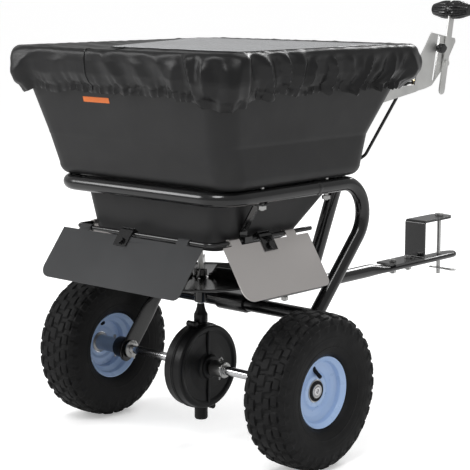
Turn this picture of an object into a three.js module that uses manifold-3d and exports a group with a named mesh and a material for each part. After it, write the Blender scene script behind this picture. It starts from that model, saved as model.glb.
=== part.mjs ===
// Tow-behind broadcast spreader. Millimetres, +Z up, +Y towards the towing vehicle, +X to its right.
// Every piece is drawn about the middle of the axle, and the finished group is then stood on the
// ground with its origin at the middle of the base of its bounding box.
import * as THREE from 'three';
import { mergeVertices } from 'three/addons/utils/BufferGeometryUtils.js';
import Module from 'manifold-3d';

const wasm = await Module();
wasm.setup();

// ---- Driving dimensions -------------------------------------------------------------------------

const gap = 0.3; // between pieces that touch
const steelSheet = 2.5; // pressed brackets and straps

const wheelTrack = 500;
const tyreRadius = 132.5;
const tyreWidth = 86;
const tyreWall = 7;
const rimRadius = 60.5;
const rimWidth = 57;
const rimSheet = 2;
const hubRadius = 19;
const hubLength = 41; // from the middle plane of the wheel inwards

const axleRadius = 8;
const axleOverhang = 4; // axle end beyond the hub
const bushRadius = 19;
const collarRadius = 14;
const collarLength = 30;

const tubeRadius = 12.7;
const hoopHalfWidth = 196;
const hoopRear = 151;
const hoopHeight = 326; // tube centre above the axle
const hoopCorner = 48;
const hoopJoint = 76; // where the hoop ends and the legs begin
const spigotRadius = 10.8;
const spigotLength = 30;
const legBendRadius = 60;
const legBendForward = 149;
const legFootHalfWidth = hoopHalfWidth - 12;
const legFootWidth = 38; // flattened end
const legFootThickness = 6;
const legFlatStart = 78; // along the leg from the axle
const legRoundStart = 130;

const crossTubeAlongLeg = 133; // from the axle to the cross tube, up the leg
const towBarLength = 684;
const towBarFlatLength = 242;
const towBarTaper = 60;
const towBarFlatWidth = 36;
const towBarFlatThickness = 11;
const towBarFlatDrop = 3;
const saddleHalfWidth = 32;
const saddleSheet = 3.4;
const braceForward = 228;
const braceTopHalfWidth = 145;
const braceTopHeight = 386;
const braceBendHalfWidth = 58;
const braceBendRadius = 46;
const boltRadius = 4;

const hitchWidth = 49;
const hitchSheet = 4.5;
const hitchFootLength = 97;
const hitchWebHeight = 81;
const hitchTopLength = 113;
const hitchBendRadius = 7;
const hitchPinForward = 87; // from the web to the pin
const hitchPinRadius = 4.5;
const hitchPinTail = 31; // below the tow bar
const clipWire = 1.4;
const clipSpan = 56;

const gearboxRadius = 75.5;
const gearboxHalfWidth = 20.5;
const gearboxWall = 3.5;
const crownTeeth = 36;
const pinionTeeth = 6;
const meshRadius = 52; // from the axle to the middle of the meshing teeth
const toothFace = 10;
const shaftRadius = 4.8;

const wall = 3; // moulded hopper
const hopperCorner = 41;
const funnelDepth = 111;
const throatRise = 17;
const tubHeight = 216;
const creaseHeight = 71; // above the ledge
const floorSize = { side: 126, rear: 98, front: 66 };
const throatSize = { side: 148, rear: 120, front: 88 };
const creaseSize = { side: 215.7, rear: 175, front: 215.7 };
const rimSize = { side: 251, rear: 218, front: 305 };
const rimLip = 3;
const footRise = 20; // rounding below the tub
const outlet = { halfWidth: 34, near: 22, far: 62 };

const impellerRadius = 130;
const impellerHeight = 156;
const impellerSheet = 3;
const finHeight = 20;
const finCount = 6;

const rodRadius = 4;
const rodHalfWidth = 161;
const rodRear = 144;
const rodFront = 105;
const rodHeight = 250;
const rodCorner = 16;
const plateSheet = 1.5;
const plateLength = 107;
const plateCorner = 22;
const curlWidth = 24;

const coverSheet = 2.2;
const coverSlack = 0.8; // between the rim and the cover
const coverHang = 66;
const windowInset = 22;

const controlSide = 205; // plane of the control bracket
const controlSheet = 2.5;
const leverWidth = 16;
const leverLean = THREE.MathUtils.degToRad(11);
const leverPivot = { y: 416, z: 524 };
const leverUp = 88;
const leverDown = 50;
const gripLength = 80;
const gripRadius = 17;
const gripEndRadius = 11;
const cableRadius = 3;

// ---- Finishes -----------------------------------------------------------------------------------

const finishes = {
  hopper: { color: 0x353535, roughness: 0.55, metalness: 0 },
  fabric: { color: 0x1b1b1c, roughness: 0.75, metalness: 0 },
  vinyl: { color: 0xc9ccd0, roughness: 0.3, metalness: 0 },
  paint: { color: 0x141414, roughness: 0.35, metalness: 0.3 },
  plastic: { color: 0x1a1a1a, roughness: 0.45, metalness: 0 },
  stainless: { color: 0xb8b0aa, roughness: 0.35, metalness: 0.9 },
  zinc: { color: 0xc2c3c2, roughness: 0.3, metalness: 0.9 },
  chrome: { color: 0xd8d8d8, roughness: 0.12, metalness: 1 },
  rubber: { color: 0x202020, roughness: 0.85, metalness: 0 },
  rimPaint: { color: 0x8fb0dc, roughness: 0.35, metalness: 0.1 },
};

// ---- Geometry helpers ---------------------------------------------------------------------------

const degrees = THREE.MathUtils.degToRad;
const vector = (x, y, z) => new THREE.Vector3(x, y, z);

// A closed geometry as a manifold solid, with its faces turned outwards.
function solidOf(geometry) {
  const bare = geometry.clone();
  bare.deleteAttribute('normal');
  bare.deleteAttribute('uv');
  const merged = mergeVertices(bare, 1e-4);
  const mesh = new wasm.Mesh({
    numProp: 3,
    vertProperties: new Float32Array(merged.attributes.position.array),
    triVerts: new Uint32Array(merged.index.array),
  });
  return new wasm.Manifold(mesh);
}

function geometryOf(solid) {
  const mesh = solid.getMesh();
  const geometry = new THREE.BufferGeometry();
  geometry.setAttribute('position', new THREE.BufferAttribute(mesh.vertProperties, 3));
  geometry.setIndex(new THREE.BufferAttribute(mesh.triVerts, 1));
  geometry.computeVertexNormals();
  return geometry;
}

function join(...geometries) {
  return geometryOf(geometries.map(solidOf).reduce((sum, next) => sum.add(next)));
}

function cut(base, ...tools) {
  return geometryOf(tools.map(solidOf).reduce((rest, tool) => rest.subtract(tool), solidOf(base)));
}

function common(a, b) {
  return geometryOf(solidOf(a).intersect(solidOf(b)));
}

function move(geometry, x, y, z) {
  return geometry.clone().translate(x, y, z);
}

// A geometry mirrored to the other side of the machine, with its faces turned back outwards.
function mirrored(geometry) {
  const copy = geometry.index ? geometry.toNonIndexed() : geometry.clone();
  copy.scale(-1, 1, 1);
  const position = copy.attributes.position;
  for (let corner = 0; corner < position.count; corner += 3) {
    const first = vector(0, 0, 0).fromBufferAttribute(position, corner);
    const last = vector(0, 0, 0).fromBufferAttribute(position, corner + 2);
    position.setXYZ(corner, last.x, last.y, last.z);
    position.setXYZ(corner + 2, first.x, first.y, first.z);
  }
  copy.computeVertexNormals();
  return copy;
}

// A box between two opposite corners.
function block(x0, x1, y0, y1, z0, z1) {
  const geometry = new THREE.BoxGeometry(x1 - x0, y1 - y0, z1 - z0);
  return geometry.translate((x0 + x1) / 2, (y0 + y1) / 2, (z0 + z1) / 2);
}

// A cylinder along one axis from one end to the other, centred on the two other coordinates.
function rod(axis, from, to, centre, radius, sides = 12) {
  const geometry = new THREE.CylinderGeometry(radius, radius, to - from, sides);
  const middle = (from + to) / 2;
  if (axis === 'x') return geometry.rotateZ(Math.PI / 2).translate(middle, centre[0], centre[1]);
  if (axis === 'y') return geometry.translate(centre[0], middle, centre[1]);
  return geometry.rotateX(Math.PI / 2).translate(centre[0], centre[1], middle);
}

// A profile of [radius, distance] points turned about the X or the Z axis. A ring's profile closes.
function turned(profile, axis, sides, ring = false) {
  const points = profile.map(([radius, along]) => new THREE.Vector2(radius, along));
  if (ring) points.push(points[0].clone());
  const geometry = new THREE.LatheGeometry(points, sides);
  if (signedVolume(geometry) < 0) flip(geometry);
  return axis === 'x' ? geometry.rotateZ(-Math.PI / 2) : geometry.rotateX(Math.PI / 2);
}

function signedVolume(geometry) {
  const position = geometry.attributes.position;
  const order = geometry.index.array;
  const corner = (i) => vector(0, 0, 0).fromBufferAttribute(position, order[i]);
  let volume = 0;
  for (let i = 0; i < order.length; i += 3) volume += corner(i).dot(corner(i + 1).cross(corner(i + 2)));
  return volume / 6;
}

function flip(geometry) {
  const order = geometry.index.array;
  for (let i = 0; i < order.length; i += 3) [order[i], order[i + 2]] = [order[i + 2], order[i]];
}

// A closed skin through outlines that all have the same number of points, with flat convex ends.
function loft(outlines) {
  const count = outlines[0].length;
  const positions = outlines.flat().flatMap((point) => [point.x, point.y, point.z]);
  const order = [];
  for (let level = 0; level < outlines.length - 1; level++) {
    for (let i = 0; i < count; i++) {
      const a = level * count + i;
      const b = level * count + ((i + 1) % count);
      order.push(a, b, b + count, a, b + count, a + count);
    }
  }
  const last = (outlines.length - 1) * count;
  for (let i = 1; i < count - 1; i++) {
    order.push(0, i + 1, i);
    order.push(last, last + i, last + i + 1);
  }
  const geometry = new THREE.BufferGeometry();
  geometry.setAttribute('position', new THREE.Float32BufferAttribute(positions, 3));
  geometry.setIndex(order);
  if (signedVolume(geometry) < 0) flip(geometry);
  geometry.computeVertexNormals();
  return geometry;
}

// The corners of a bent tube with each bend rounded to a radius.
function bentPath(corners, radius, steps = 5) {
  const path = [corners[0]];
  for (let i = 1; i < corners.length - 1; i++) {
    const before = corners[i - 1].clone().sub(corners[i]).normalize();
    const after = corners[i + 1].clone().sub(corners[i]).normalize();
    const half = before.angleTo(after) / 2;
    const reach = radius / Math.tan(half);
    const inward = before.clone().add(after).normalize();
    const centre = corners[i].clone().addScaledVector(inward, radius / Math.sin(half));
    const start = corners[i].clone().addScaledVector(before, reach).sub(centre);
    const end = corners[i].clone().addScaledVector(after, reach).sub(centre);
    const turn = new THREE.Quaternion().setFromUnitVectors(start.clone().normalize(), end.clone().normalize());
    for (let step = 0; step <= steps; step++) {
      const part = new THREE.Quaternion().slerp(turn, step / steps);
      path.push(start.clone().applyQuaternion(part).add(centre));
    }
  }
  path.push(corners[corners.length - 1]);
  return path;
}

// A section swept along a path. The section gives [across, up] for an angle at each path point,
// and across stays as near as it can to the given side direction.
function sweep(path, side, section, sides = 10) {
  const outlines = path.map((point, i) => {
    const before = path[Math.max(i - 1, 0)];
    const after = path[Math.min(i + 1, path.length - 1)];
    const along = after.clone().sub(before).normalize();
    const across = side.clone().addScaledVector(along, -side.dot(along)).normalize();
    const up = along.clone().cross(across);
    return Array.from({ length: sides }, (_, corner) => {
      const [u, v] = section((2 * Math.PI * (corner + 0.5)) / sides, i);
      return point.clone().addScaledVector(across, u).addScaledVector(up, v);
    });
  });
  return loft(outlines);
}

function tube(path, side, radius, sides = 10) {
  return sweep(path, side, (angle) => [radius * Math.cos(angle), radius * Math.sin(angle)], sides);
}

// Half sizes that run from a round tube to a flattened one, keeping round ends on the flat.
function flattened(angle, halfWidth, halfThickness) {
  const straight = halfWidth - halfThickness;
  const u = halfThickness * Math.cos(angle) + Math.sign(Math.cos(angle)) * straight;
  return [u, halfThickness * Math.sin(angle)];
}

// A level rectangle with rounded corners, given by its reach to the side, rear and front.
function roundedLevel({ side, rear, front }, corner, z, steps = 3) {
  const outline = [];
  const centres = [[side - corner, front - corner], [corner - side, front - corner],
    [corner - side, corner - rear], [side - corner, corner - rear]];
  centres.forEach(([x, y], quarter) => {
    for (let step = 0; step <= steps; step++) {
      const angle = (quarter + step / steps) * (Math.PI / 2);
      outline.push(vector(x + corner * Math.cos(angle), y + corner * Math.sin(angle), z));
    }
  });
  return outline;
}

function inset({ side, rear, front }, by) {
  return { side: side - by, rear: rear - by, front: front - by };
}

function between(low, high, part) {
  return {
    side: low.side + (high.side - low.side) * part,
    rear: low.rear + (high.rear - low.rear) * part,
    front: low.front + (high.front - low.front) * part,
  };
}

// An outline of [y, z] points extruded along X between two planes.
function profileAlongX(shape, x0, x1, curveSegments = 6) {
  const geometry = new THREE.ExtrudeGeometry(shape, { depth: x1 - x0, bevelEnabled: false, curveSegments });
  return geometry.rotateZ(Math.PI / 2).rotateY(Math.PI / 2).translate(x0, 0, 0);
}

function hexagon(z0, z1, x, y, radius) {
  return rod('z', z0, z1, [x, y], radius, 6);
}

// ---- Assembly -----------------------------------------------------------------------------------

const spreader = new THREE.Group();

function addPart(name, geometry, finish) {
  const material = new THREE.MeshStandardMaterial(finishes[finish]);
  const mesh = new THREE.Mesh(geometry, material);
  mesh.name = name;
  spreader.add(mesh);
}

// ---- Heights and places that follow from the driving dimensions ----------------------------------

const ledge = hoopHeight + tubeRadius + gap; // underside of the tub
const rim = ledge + tubHeight;
const floor = ledge - funnelDepth;
const funnelTop = { side: hoopHalfWidth - 24, rear: hoopRear - 25, front: 192 };
const tubFoot = { side: hoopHalfWidth + 16.5, rear: hoopRear + 6, front: 203.5 };
const wheelMiddle = wheelTrack / 2;
const legRise = hoopHeight - legBendRadius;
const legAngle = Math.atan2(legRise, legBendForward)
  - Math.asin(legBendRadius / Math.hypot(legRise, legBendForward));
const legCornerForward = hoopHeight / Math.tan(legAngle);
const legTopPoint = vector(hoopHalfWidth, hoopJoint + gap, hoopHeight);
const legCorner = vector(hoopHalfWidth, legCornerForward, hoopHeight);
const legFoot = vector(legFootHalfWidth, 0, 0);
const legUp = legCorner.clone().sub(legFoot).normalize();
const crossTube = legFoot.clone().addScaledVector(legUp, crossTubeAlongLeg);
const barHeight = crossTube.z;
const barRear = crossTube.y + tubeRadius + gap;
const barEnd = barRear + towBarLength;
const barFlatStart = barEnd - towBarFlatLength;
const flatMiddle = barHeight - towBarFlatDrop;
const flatTop = flatMiddle + towBarFlatThickness / 2;
const flatBottom = flatMiddle - towBarFlatThickness / 2;
const hitchFoot = flatTop + gap;
const hitchTop = hitchFoot + hitchWebHeight;
const hitchWeb = barEnd - 142;
const pinForward = hitchWeb + hitchPinForward;

// Where the outside of the tub's front wall stands at a height.
function frontWall(z) {
  const crease = ledge + creaseHeight;
  const part = (z - crease) / (rim - crease);
  return creaseSize.front + (rimSize.front - creaseSize.front) * part;
}

// ---- Hopper -------------------------------------------------------------------------------------

// The skin of the hopper drawn in from its outside by a distance, closed at the top.
function hopperSkin(by, top) {
  const corner = hopperCorner - by;
  const round = footRise - by;
  const levels = [
    roundedLevel(inset(floorSize, by), 22, floor + by),
    roundedLevel(inset(between(floorSize, throatSize, 0.7), by), 26, floor + by * 0.6 + throatRise * 0.35),
    roundedLevel(inset(throatSize, by), 30 - by, floor + throatRise),
    roundedLevel(inset(funnelTop, by), 30 - by, ledge + by),
  ];
  for (const turn of [0, 45, 90]) {
    const inward = by + round * (1 - Math.sin(degrees(turn)));
    const height = ledge + by + round * (1 - Math.cos(degrees(turn)));
    levels.push(roundedLevel(inset(tubFoot, inward), hopperCorner - inward, height));
  }
  levels.push(roundedLevel(inset(creaseSize, by), corner, ledge + creaseHeight));
  levels.push(roundedLevel(inset(rimSize, by), corner + 6, rim));
  if (top > rim) levels.push(roundedLevel(inset(rimSize, by), corner + 6, top));
  return loft(levels);
}

const lip = loft([
  roundedLevel(inset(rimSize, wall), hopperCorner + 3, rim - 9),
  roundedLevel(inset(rimSize, -rimLip), hopperCorner + 9, rim - 8),
  roundedLevel(inset(rimSize, -rimLip), hopperCorner + 9, rim),
]);
const hopperBoltSpots = [-62, 104].flatMap((y) => [[-hoopHalfWidth, y], [hoopHalfWidth, y]]);
const bossHeight = 12;
const braceTop = vector(braceTopHalfWidth, 0, braceTopHeight);
const wallAtBrace = tubFoot.front + (creaseSize.front - tubFoot.front)
  * (braceTopHeight - 14 - ledge - footRise) / (creaseHeight - footRise);
braceTop.y = wallAtBrace + tubeRadius + 7;
const braceBoltSpots = [-braceTopHalfWidth + 4, braceTopHalfWidth - 4];
const bracketBoltSpots = [controlSide - 22];
const bracketBoltHeight = rim - coverHang - 16;
const wallLean = Math.atan((rimSize.front - creaseSize.front) / (rim - ledge - creaseHeight));
const onFrontWall = (geometry, x) => geometry.rotateX(-wallLean)
  .translate(x, frontWall(bracketBoltHeight), bracketBoltHeight);

const gateClear = 1;
const hopper = cut(
  join(
    cut(join(hopperSkin(0, rim), lip), hopperSkin(wall, rim + 5)),
    ...hopperBoltSpots.map(([x, y]) => rod('z', ledge, ledge + bossHeight, [x, y], 9)),
    rod('z', floor + 1, floor + 12, [0, 0], 12),
  ),
  ...hopperBoltSpots.map(([x, y]) => rod('z', ledge - 5, ledge + 20, [x, y], boltRadius + gap)),
  rod('z', floor - 5, floor + 20, [0, 0], shaftRadius + 0.4, 14),
  block(-outlet.halfWidth, outlet.halfWidth, outlet.near, outlet.far, floor - 5, floor + 10),
  ...braceBoltSpots.map((x) => rod('y', 150, 250, [x, braceTopHeight - 14], boltRadius + gap)),
  ...bracketBoltSpots.map((x) => onFrontWall(rod('y', -20, 20, [0, 0], 3 + gap), x)),
);
addPart('hopper', hopper, 'hopper');

// Carriage bolts down through the ledge bosses and the frame tubes.
hopperBoltSpots.forEach(([x, y], index) => {
  const top = ledge + bossHeight + gap;
  const bolt = join(
    rod('z', hoopHeight - tubeRadius - 11, top + 1, [x, y], boltRadius, 8),
    rod('z', top, top + 3.5, [x, y], 8, 8),
    hexagon(hoopHeight - tubeRadius - gap - 6.5 - steelSheet, hoopHeight - tubeRadius - gap * 2 - steelSheet, x, y, 7.4),
  );
  addPart(`hopper_bolt_${['rear_left', 'rear_right', 'front_left', 'front_right'][index]}`, bolt, 'zinc');
});

// ---- Frame --------------------------------------------------------------------------------------

const side = vector(1, 0, 0);
const boltHole = ([x, y]) => rod('z', hoopHeight - 20, hoopHeight + 20, [x, y], boltRadius + gap);

const hoopPath = bentPath([
  vector(-hoopHalfWidth, hoopJoint, hoopHeight), vector(-hoopHalfWidth, -hoopRear, hoopHeight),
  vector(hoopHalfWidth, -hoopRear, hoopHeight), vector(hoopHalfWidth, hoopJoint, hoopHeight),
], hoopCorner);
addPart('rear_hoop', cut(tube(hoopPath, vector(0, 0, 1), tubeRadius), ...hopperBoltSpots.slice(0, 2).map(boltHole),
  ...[-1, 1].map((hand) => rod('y', hoopJoint - spigotLength - 4, hoopJoint + 1,
    [hand * hoopHalfWidth, hoopHeight], spigotRadius + gap * 2, 14))), 'paint');

// A leg: a spigot into the hoop, a straight under the ledge, one bend, and a flattened foot.
const legRound = legFoot.clone().addScaledVector(legUp, legRoundStart);
const legPath = bentPath([legTopPoint, legCorner, legRound], legBendRadius);
const legSpots = [[legRoundStart, 0], [104, 0.5], [legFlatStart, 1], [0, 1], [-12, 1], [-20, 1], [-25, 1]];
const legEnds = [1, 1, 1, 1, 0.93, 0.7, 0.3];
const roundCount = legPath.length - 1;
for (const [along] of legSpots.slice(1)) legPath.push(legFoot.clone().addScaledVector(legUp, along));
const legSection = (angle, i) => {
  const spot = Math.max(i - roundCount, 0);
  const flat = legSpots[spot][1];
  const halfWidth = (tubeRadius + (legFootWidth / 2 - tubeRadius) * flat) * legEnds[spot];
  const halfThickness = tubeRadius + (legFootThickness / 2 - tubeRadius) * flat;
  return [halfThickness * Math.cos(angle), halfWidth * Math.sin(angle)];
};
const rightLeg = cut(
  join(sweep(legPath, side, legSection),
    rod('y', hoopJoint - spigotLength, hoopJoint + 6, [hoopHalfWidth, hoopHeight], spigotRadius, 10)),
  rod('x', 120, 250, [0, 0], axleRadius + 3 + gap * 2, 14),
  boltHole(hopperBoltSpots[3]),
);
addPart('leg_right', rightLeg, 'paint');
addPart('leg_left', mirrored(rightLeg), 'paint');

const legSleeve = tube([legCorner, legFoot], side, tubeRadius + gap * 2, 16);
const crossTubeBar = cut(
  rod('x', -crossTube.x, crossTube.x, [crossTube.y, crossTube.z], tubeRadius - 0.2, 10),
  legSleeve, mirrored(legSleeve),
);
addPart('cross_tube', crossTubeBar, 'paint');

// The tow bar: round at the rear, pressed flat with a rounded end at the front.
const barSpots = [
  [barRear, 0, 1], [barFlatStart - towBarTaper, 0, 1], [barFlatStart - towBarTaper / 2, 0.5, 1],
  [barFlatStart, 1, 1], [barEnd - 18, 1, 1], [barEnd - 9, 1, 0.87], [barEnd - 3, 1, 0.55], [barEnd, 1, 0.2],
];
const barPath = barSpots.map(([y, flat]) => vector(0, y, barHeight - towBarFlatDrop * flat));
const barSection = (angle, i) => {
  const [, flat, end] = barSpots[i];
  const halfWidth = (tubeRadius + (towBarFlatWidth / 2 - tubeRadius) * flat) * end;
  const halfThickness = tubeRadius + (towBarFlatThickness / 2 - tubeRadius) * flat;
  const round = [halfWidth * Math.cos(angle), halfThickness * Math.sin(angle)];
  const pressed = flattened(angle, halfWidth, Math.min(halfThickness, halfWidth));
  return [round[0] + (pressed[0] - round[0]) * flat, round[1] + (pressed[1] - round[1]) * flat];
};
const hitchBoltSpots = [barEnd - 217, barEnd - 164];
const saddleBoltForward = barRear + 26;
addPart('tow_bar', cut(sweep(barPath, side, barSection, 12),
  rod('z', 60, 160, [0, saddleBoltForward], boltRadius + gap),
  rod('z', 60, 160, [0, braceForward], boltRadius + gap),
  ...hitchBoltSpots.map((y) => rod('z', 60, 160, [0, y], boltRadius + gap)),
  rod('z', 60, 160, [0, pinForward], hitchPinRadius + 0.6)), 'paint');

// A strap that wraps the back of the cross tube and grips the tow bar above and below.
const wrap = (radius, forward) => {
  const shape = new THREE.Shape();
  shape.moveTo(crossTube.y + forward, barHeight - radius);
  shape.lineTo(crossTube.y + forward, barHeight + radius);
  shape.lineTo(crossTube.y, barHeight + radius);
  shape.absarc(crossTube.y, barHeight, radius, Math.PI / 2, Math.PI * 1.5, false);
  return profileAlongX(shape, -saddleHalfWidth, saddleHalfWidth, 8);
};
const wrapReach = tubeRadius * 2 + 34;
addPart('saddle_strap', cut(wrap(tubeRadius + gap + saddleSheet, wrapReach),
  move(wrap(tubeRadius + gap, wrapReach + 2).scale(1.1, 1, 1), 0, 0, 0),
  rod('z', 60, 160, [0, saddleBoltForward], boltRadius + gap)), 'paint');

function throughBolt(x, y, under, over, headHeight = 5) {
  return join(
    rod('z', under - 8.5, over + 1, [x, y], boltRadius, 8),
    hexagon(over + gap, over + gap + headHeight, x, y, 7.4),
    hexagon(under - gap - 6.5, under - gap, x, y, 7.4),
  );
}
addPart('saddle_bolt', throughBolt(0, saddleBoltForward, barHeight - tubeRadius - gap - saddleSheet,
  barHeight + tubeRadius + gap + saddleSheet), 'zinc');

// The brace: one tube bent into a wide U that stands on the tow bar and bolts to the tub's front.
const braceFoot = barHeight + tubeRadius * 2 + gap;
const bracePath = bentPath([
  vector(-braceTop.x, braceTop.y, braceTop.z), vector(-braceBendHalfWidth, braceForward, braceFoot),
  vector(braceBendHalfWidth, braceForward, braceFoot), vector(braceTop.x, braceTop.y, braceTop.z),
], braceBendRadius);
addPart('front_brace', cut(tube(bracePath, vector(0, 1, 0), tubeRadius),
  rod('z', 100, 200, [0, braceForward], boltRadius + gap),
  ...braceBoltSpots.map((x) => rod('y', 150, 300, [x, braceTopHeight - 14], boltRadius + gap))), 'paint');
addPart('brace_bolt', throughBolt(0, braceForward, barHeight - tubeRadius, braceFoot + tubeRadius), 'zinc');
['left', 'right'].forEach((hand, index) => {
  const x = braceBoltSpots[index];
  const z = braceTopHeight - 14;
  const outer = braceTop.y + tubeRadius + 1.5;
  const bolt = join(
    rod('y', wallAtBrace - 14, outer + 1, [x, z], boltRadius, 8),
    rod('y', outer, outer + 5, [x, z], 7, 8),
    rod('y', wallAtBrace - 13, wallAtBrace - 5.5, [x, z], 7, 8),
    rod('y', wallAtBrace + 1.6, wallAtBrace + 4.5, [x, z], 6, 8),
  );
  addPart(`brace_top_bolt_${hand}`, bolt, 'zinc');
});

// ---- Hitch --------------------------------------------------------------------------------------

const hitchShape = new THREE.Shape();
const bendOut = hitchBendRadius;
const bendIn = hitchBendRadius - hitchSheet;
hitchShape.moveTo(hitchWeb - hitchFootLength, hitchFoot);
hitchShape.lineTo(hitchWeb + hitchSheet - bendOut, hitchFoot);
hitchShape.absarc(hitchWeb + hitchSheet - bendOut, hitchFoot + bendOut, bendOut, -Math.PI / 2, 0, false);
hitchShape.lineTo(hitchWeb + hitchSheet, hitchTop - hitchSheet - bendIn);
hitchShape.absarc(hitchWeb + hitchSheet + bendIn, hitchTop - hitchSheet - bendIn, bendIn, Math.PI, Math.PI / 2, true);
hitchShape.lineTo(hitchWeb + hitchTopLength, hitchTop - hitchSheet);
hitchShape.lineTo(hitchWeb + hitchTopLength, hitchTop);
hitchShape.lineTo(hitchWeb + bendOut, hitchTop);
hitchShape.absarc(hitchWeb + bendOut, hitchTop - bendOut, bendOut, Math.PI / 2, Math.PI, false);
hitchShape.lineTo(hitchWeb, hitchFoot + hitchSheet + bendIn);
hitchShape.absarc(hitchWeb - bendIn, hitchFoot + hitchSheet + bendIn, bendIn, 0, -Math.PI / 2, true);
hitchShape.lineTo(hitchWeb - hitchFootLength, hitchFoot + hitchSheet);
const noseRound = join(
  block(-hitchWidth / 2, hitchWidth / 2, hitchWeb - 120, hitchWeb + hitchTopLength - hitchWidth / 2, 60, 240),
  rod('z', 60, 240, [0, hitchWeb + hitchTopLength - hitchWidth / 2], hitchWidth / 2, 18),
);
addPart('hitch_bracket', cut(
  common(profileAlongX(hitchShape, -hitchWidth / 2, hitchWidth / 2), noseRound),
  ...hitchBoltSpots.map((y) => rod('z', 60, 160, [0, y], boltRadius + gap)),
  rod('z', 160, 240, [0, pinForward], hitchPinRadius + 0.6)), 'paint');
hitchBoltSpots.forEach((y, index) => {
  addPart(`hitch_bolt_${['rear', 'front'][index]}`,
    throughBolt(0, y, flatBottom, hitchFoot + hitchSheet), 'zinc');
});

const clipHeight = flatBottom - 18;
addPart('hitch_pin', cut(join(
  rod('z', flatBottom - hitchPinTail, hitchTop + 2, [0, pinForward], hitchPinRadius, 10),
  rod('z', hitchTop + gap, hitchTop + 5, [0, pinForward], 9, 14),
), rod('x', -20, 20, [pinForward, clipHeight], clipWire + 0.4, 8)), 'zinc');

const clipSide = hitchPinRadius + clipWire + 0.5;
const clipPath = bentPath([
  vector(-21, pinForward, clipHeight), vector(clipSpan - 24, pinForward, clipHeight),
  vector(clipSpan - 17, pinForward + 5, clipHeight), vector(clipSpan - 10, pinForward - clipSide / 2, clipHeight),
  vector(clipSpan - 17, pinForward - clipSide - 5, clipHeight), vector(9, pinForward - clipSide - 0.2, clipHeight),
  vector(0, pinForward - clipSide - 1.7, clipHeight), vector(-9, pinForward - clipSide - 0.2, clipHeight),
  vector(-17, pinForward - clipSide - 3, clipHeight),
], 2.5, 2);
addPart('hitch_clip', tube(clipPath, vector(0, 0, 1), clipWire, 6), 'zinc');

// ---- Axle and wheels ----------------------------------------------------------------------------

const hubOuter = wheelMiddle + 12;
const hubInner = wheelMiddle - hubLength;
const axleEnd = hubOuter + axleOverhang;
const cotterRadius = 1.6;
const collarMiddle = gearboxHalfWidth + 9 + collarLength / 2;
const cotterHole = (x, grow) => rod('z', -40, 40, [x, 0], cotterRadius + grow, 10);
const leftPin = -(wheelMiddle - 29);
addPart('axle', cut(rod('x', -axleEnd, axleEnd, [0, 0], axleRadius, 18),
  cotterHole(collarMiddle, gap), cotterHole(leftPin, gap)), 'chrome');
addPart('axle_collar', join(
  cut(rod('x', collarMiddle - collarLength / 2, collarMiddle + collarLength / 2, [0, 0], collarRadius, 14),
    rod('x', 0, 100, [0, 0], axleRadius + gap, 14)),
  rod('z', -collarRadius - 5, collarRadius + 3, [collarMiddle, 0], cotterRadius, 10),
  rod('z', collarRadius + 1, collarRadius + 4, [collarMiddle, 0], 3.4, 8)), 'zinc');
for (const [hand, name] of [[-1, 'left'], [1, 'right']]) {
  const inner = legFootHalfWidth - legFootThickness / 2 - 3.5;
  const outer = legFootHalfWidth + legFootThickness / 2 + 0.6;
  const bush = cut(join(
    rod('x', inner, outer + 1, [0, 0], axleRadius + 3, 18),
    rod('x', outer, hubInner - 0.6, [0, 0], bushRadius, 18),
  ), rod('x', 100, 300, [0, 0], axleRadius + 0.4, 18));
  addPart(`axle_bush_${name}`, hand > 0 ? bush : mirrored(bush), 'plastic');
}
const half = tyreWidth / 2;
const tyreOuter = [
  [rimRadius + 1, -half + 15], [rimRadius + 12, -half + 5], [rimRadius + 36, -half], [tyreRadius - 9, -half + 4],
  [tyreRadius, -half + 20], [tyreRadius, half - 20], [tyreRadius - 9, half - 4], [rimRadius + 36, half],
  [rimRadius + 12, half - 5], [rimRadius + 1, half - 15],
];
const tyreInner = [
  [rimRadius + 1, half - 15 - tyreWall], [rimRadius + 17, half - 5 - tyreWall],
  [tyreRadius - 20, half - 2 - tyreWall], [tyreRadius - tyreWall - 3, half - 24],
  [tyreRadius - tyreWall - 3, -half + 24], [tyreRadius - 20, -half + 2 + tyreWall],
  [rimRadius + 17, -half + 5 + tyreWall], [rimRadius + 1, -half + 15 + tyreWall],
];
const tyre = turned([...tyreOuter, ...tyreInner], 'x', 24, true);

// Pressed rim: a barrel with rolled flanges and a dished disc welded inside it.
const face = rimWidth / 2;
const seat = rimRadius - 6;
const rimShell = turned([
  [rimRadius, -face], [rimRadius + 0.6, -face + 3], [seat, -face + 8], [seat, -11], [seat - 9, -6],
  [seat - 9, 6], [seat, 12], [seat, face - 8], [rimRadius + 0.6, face - 3], [rimRadius, face],
  [seat - rimSheet, face - 8], [seat - rimSheet, 13], [seat - 11, 8], [hubRadius + 14, 8],
  [hubRadius + 8, 12], [hubRadius + gap, 12], [hubRadius + gap, 9.6], [hubRadius + 7, 9.6],
  [hubRadius + 13, 5.6], [seat - 11, 5.6], [seat - 11, -6.8], [seat - rimSheet, -12],
  [seat - rimSheet, -face + 8],
], 'x', 24, true);
const hubBody = turned([
  [axleRadius + 0.3, -hubLength], [14, -hubLength], [14, 9], [hubRadius, 9.4], [hubRadius, 12.4],
  [axleRadius + 0.3, 12.4],
], 'x', 18, true);
const valveHole = rod('x', -4, 30, [0, 0], 4.2, 8);
const valveStem = join(rod('x', 2, 23, [0, 0], 3.6, 8), rod('x', 2, 5.2, [0, 0], 5, 8),
  rod('x', 8.6, 12, [0, 0], 5, 8));
const valveRadius = seat - 16.4;
const rimWithHole = cut(rimShell, move(valveHole, 0, 0, valveRadius));
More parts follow.
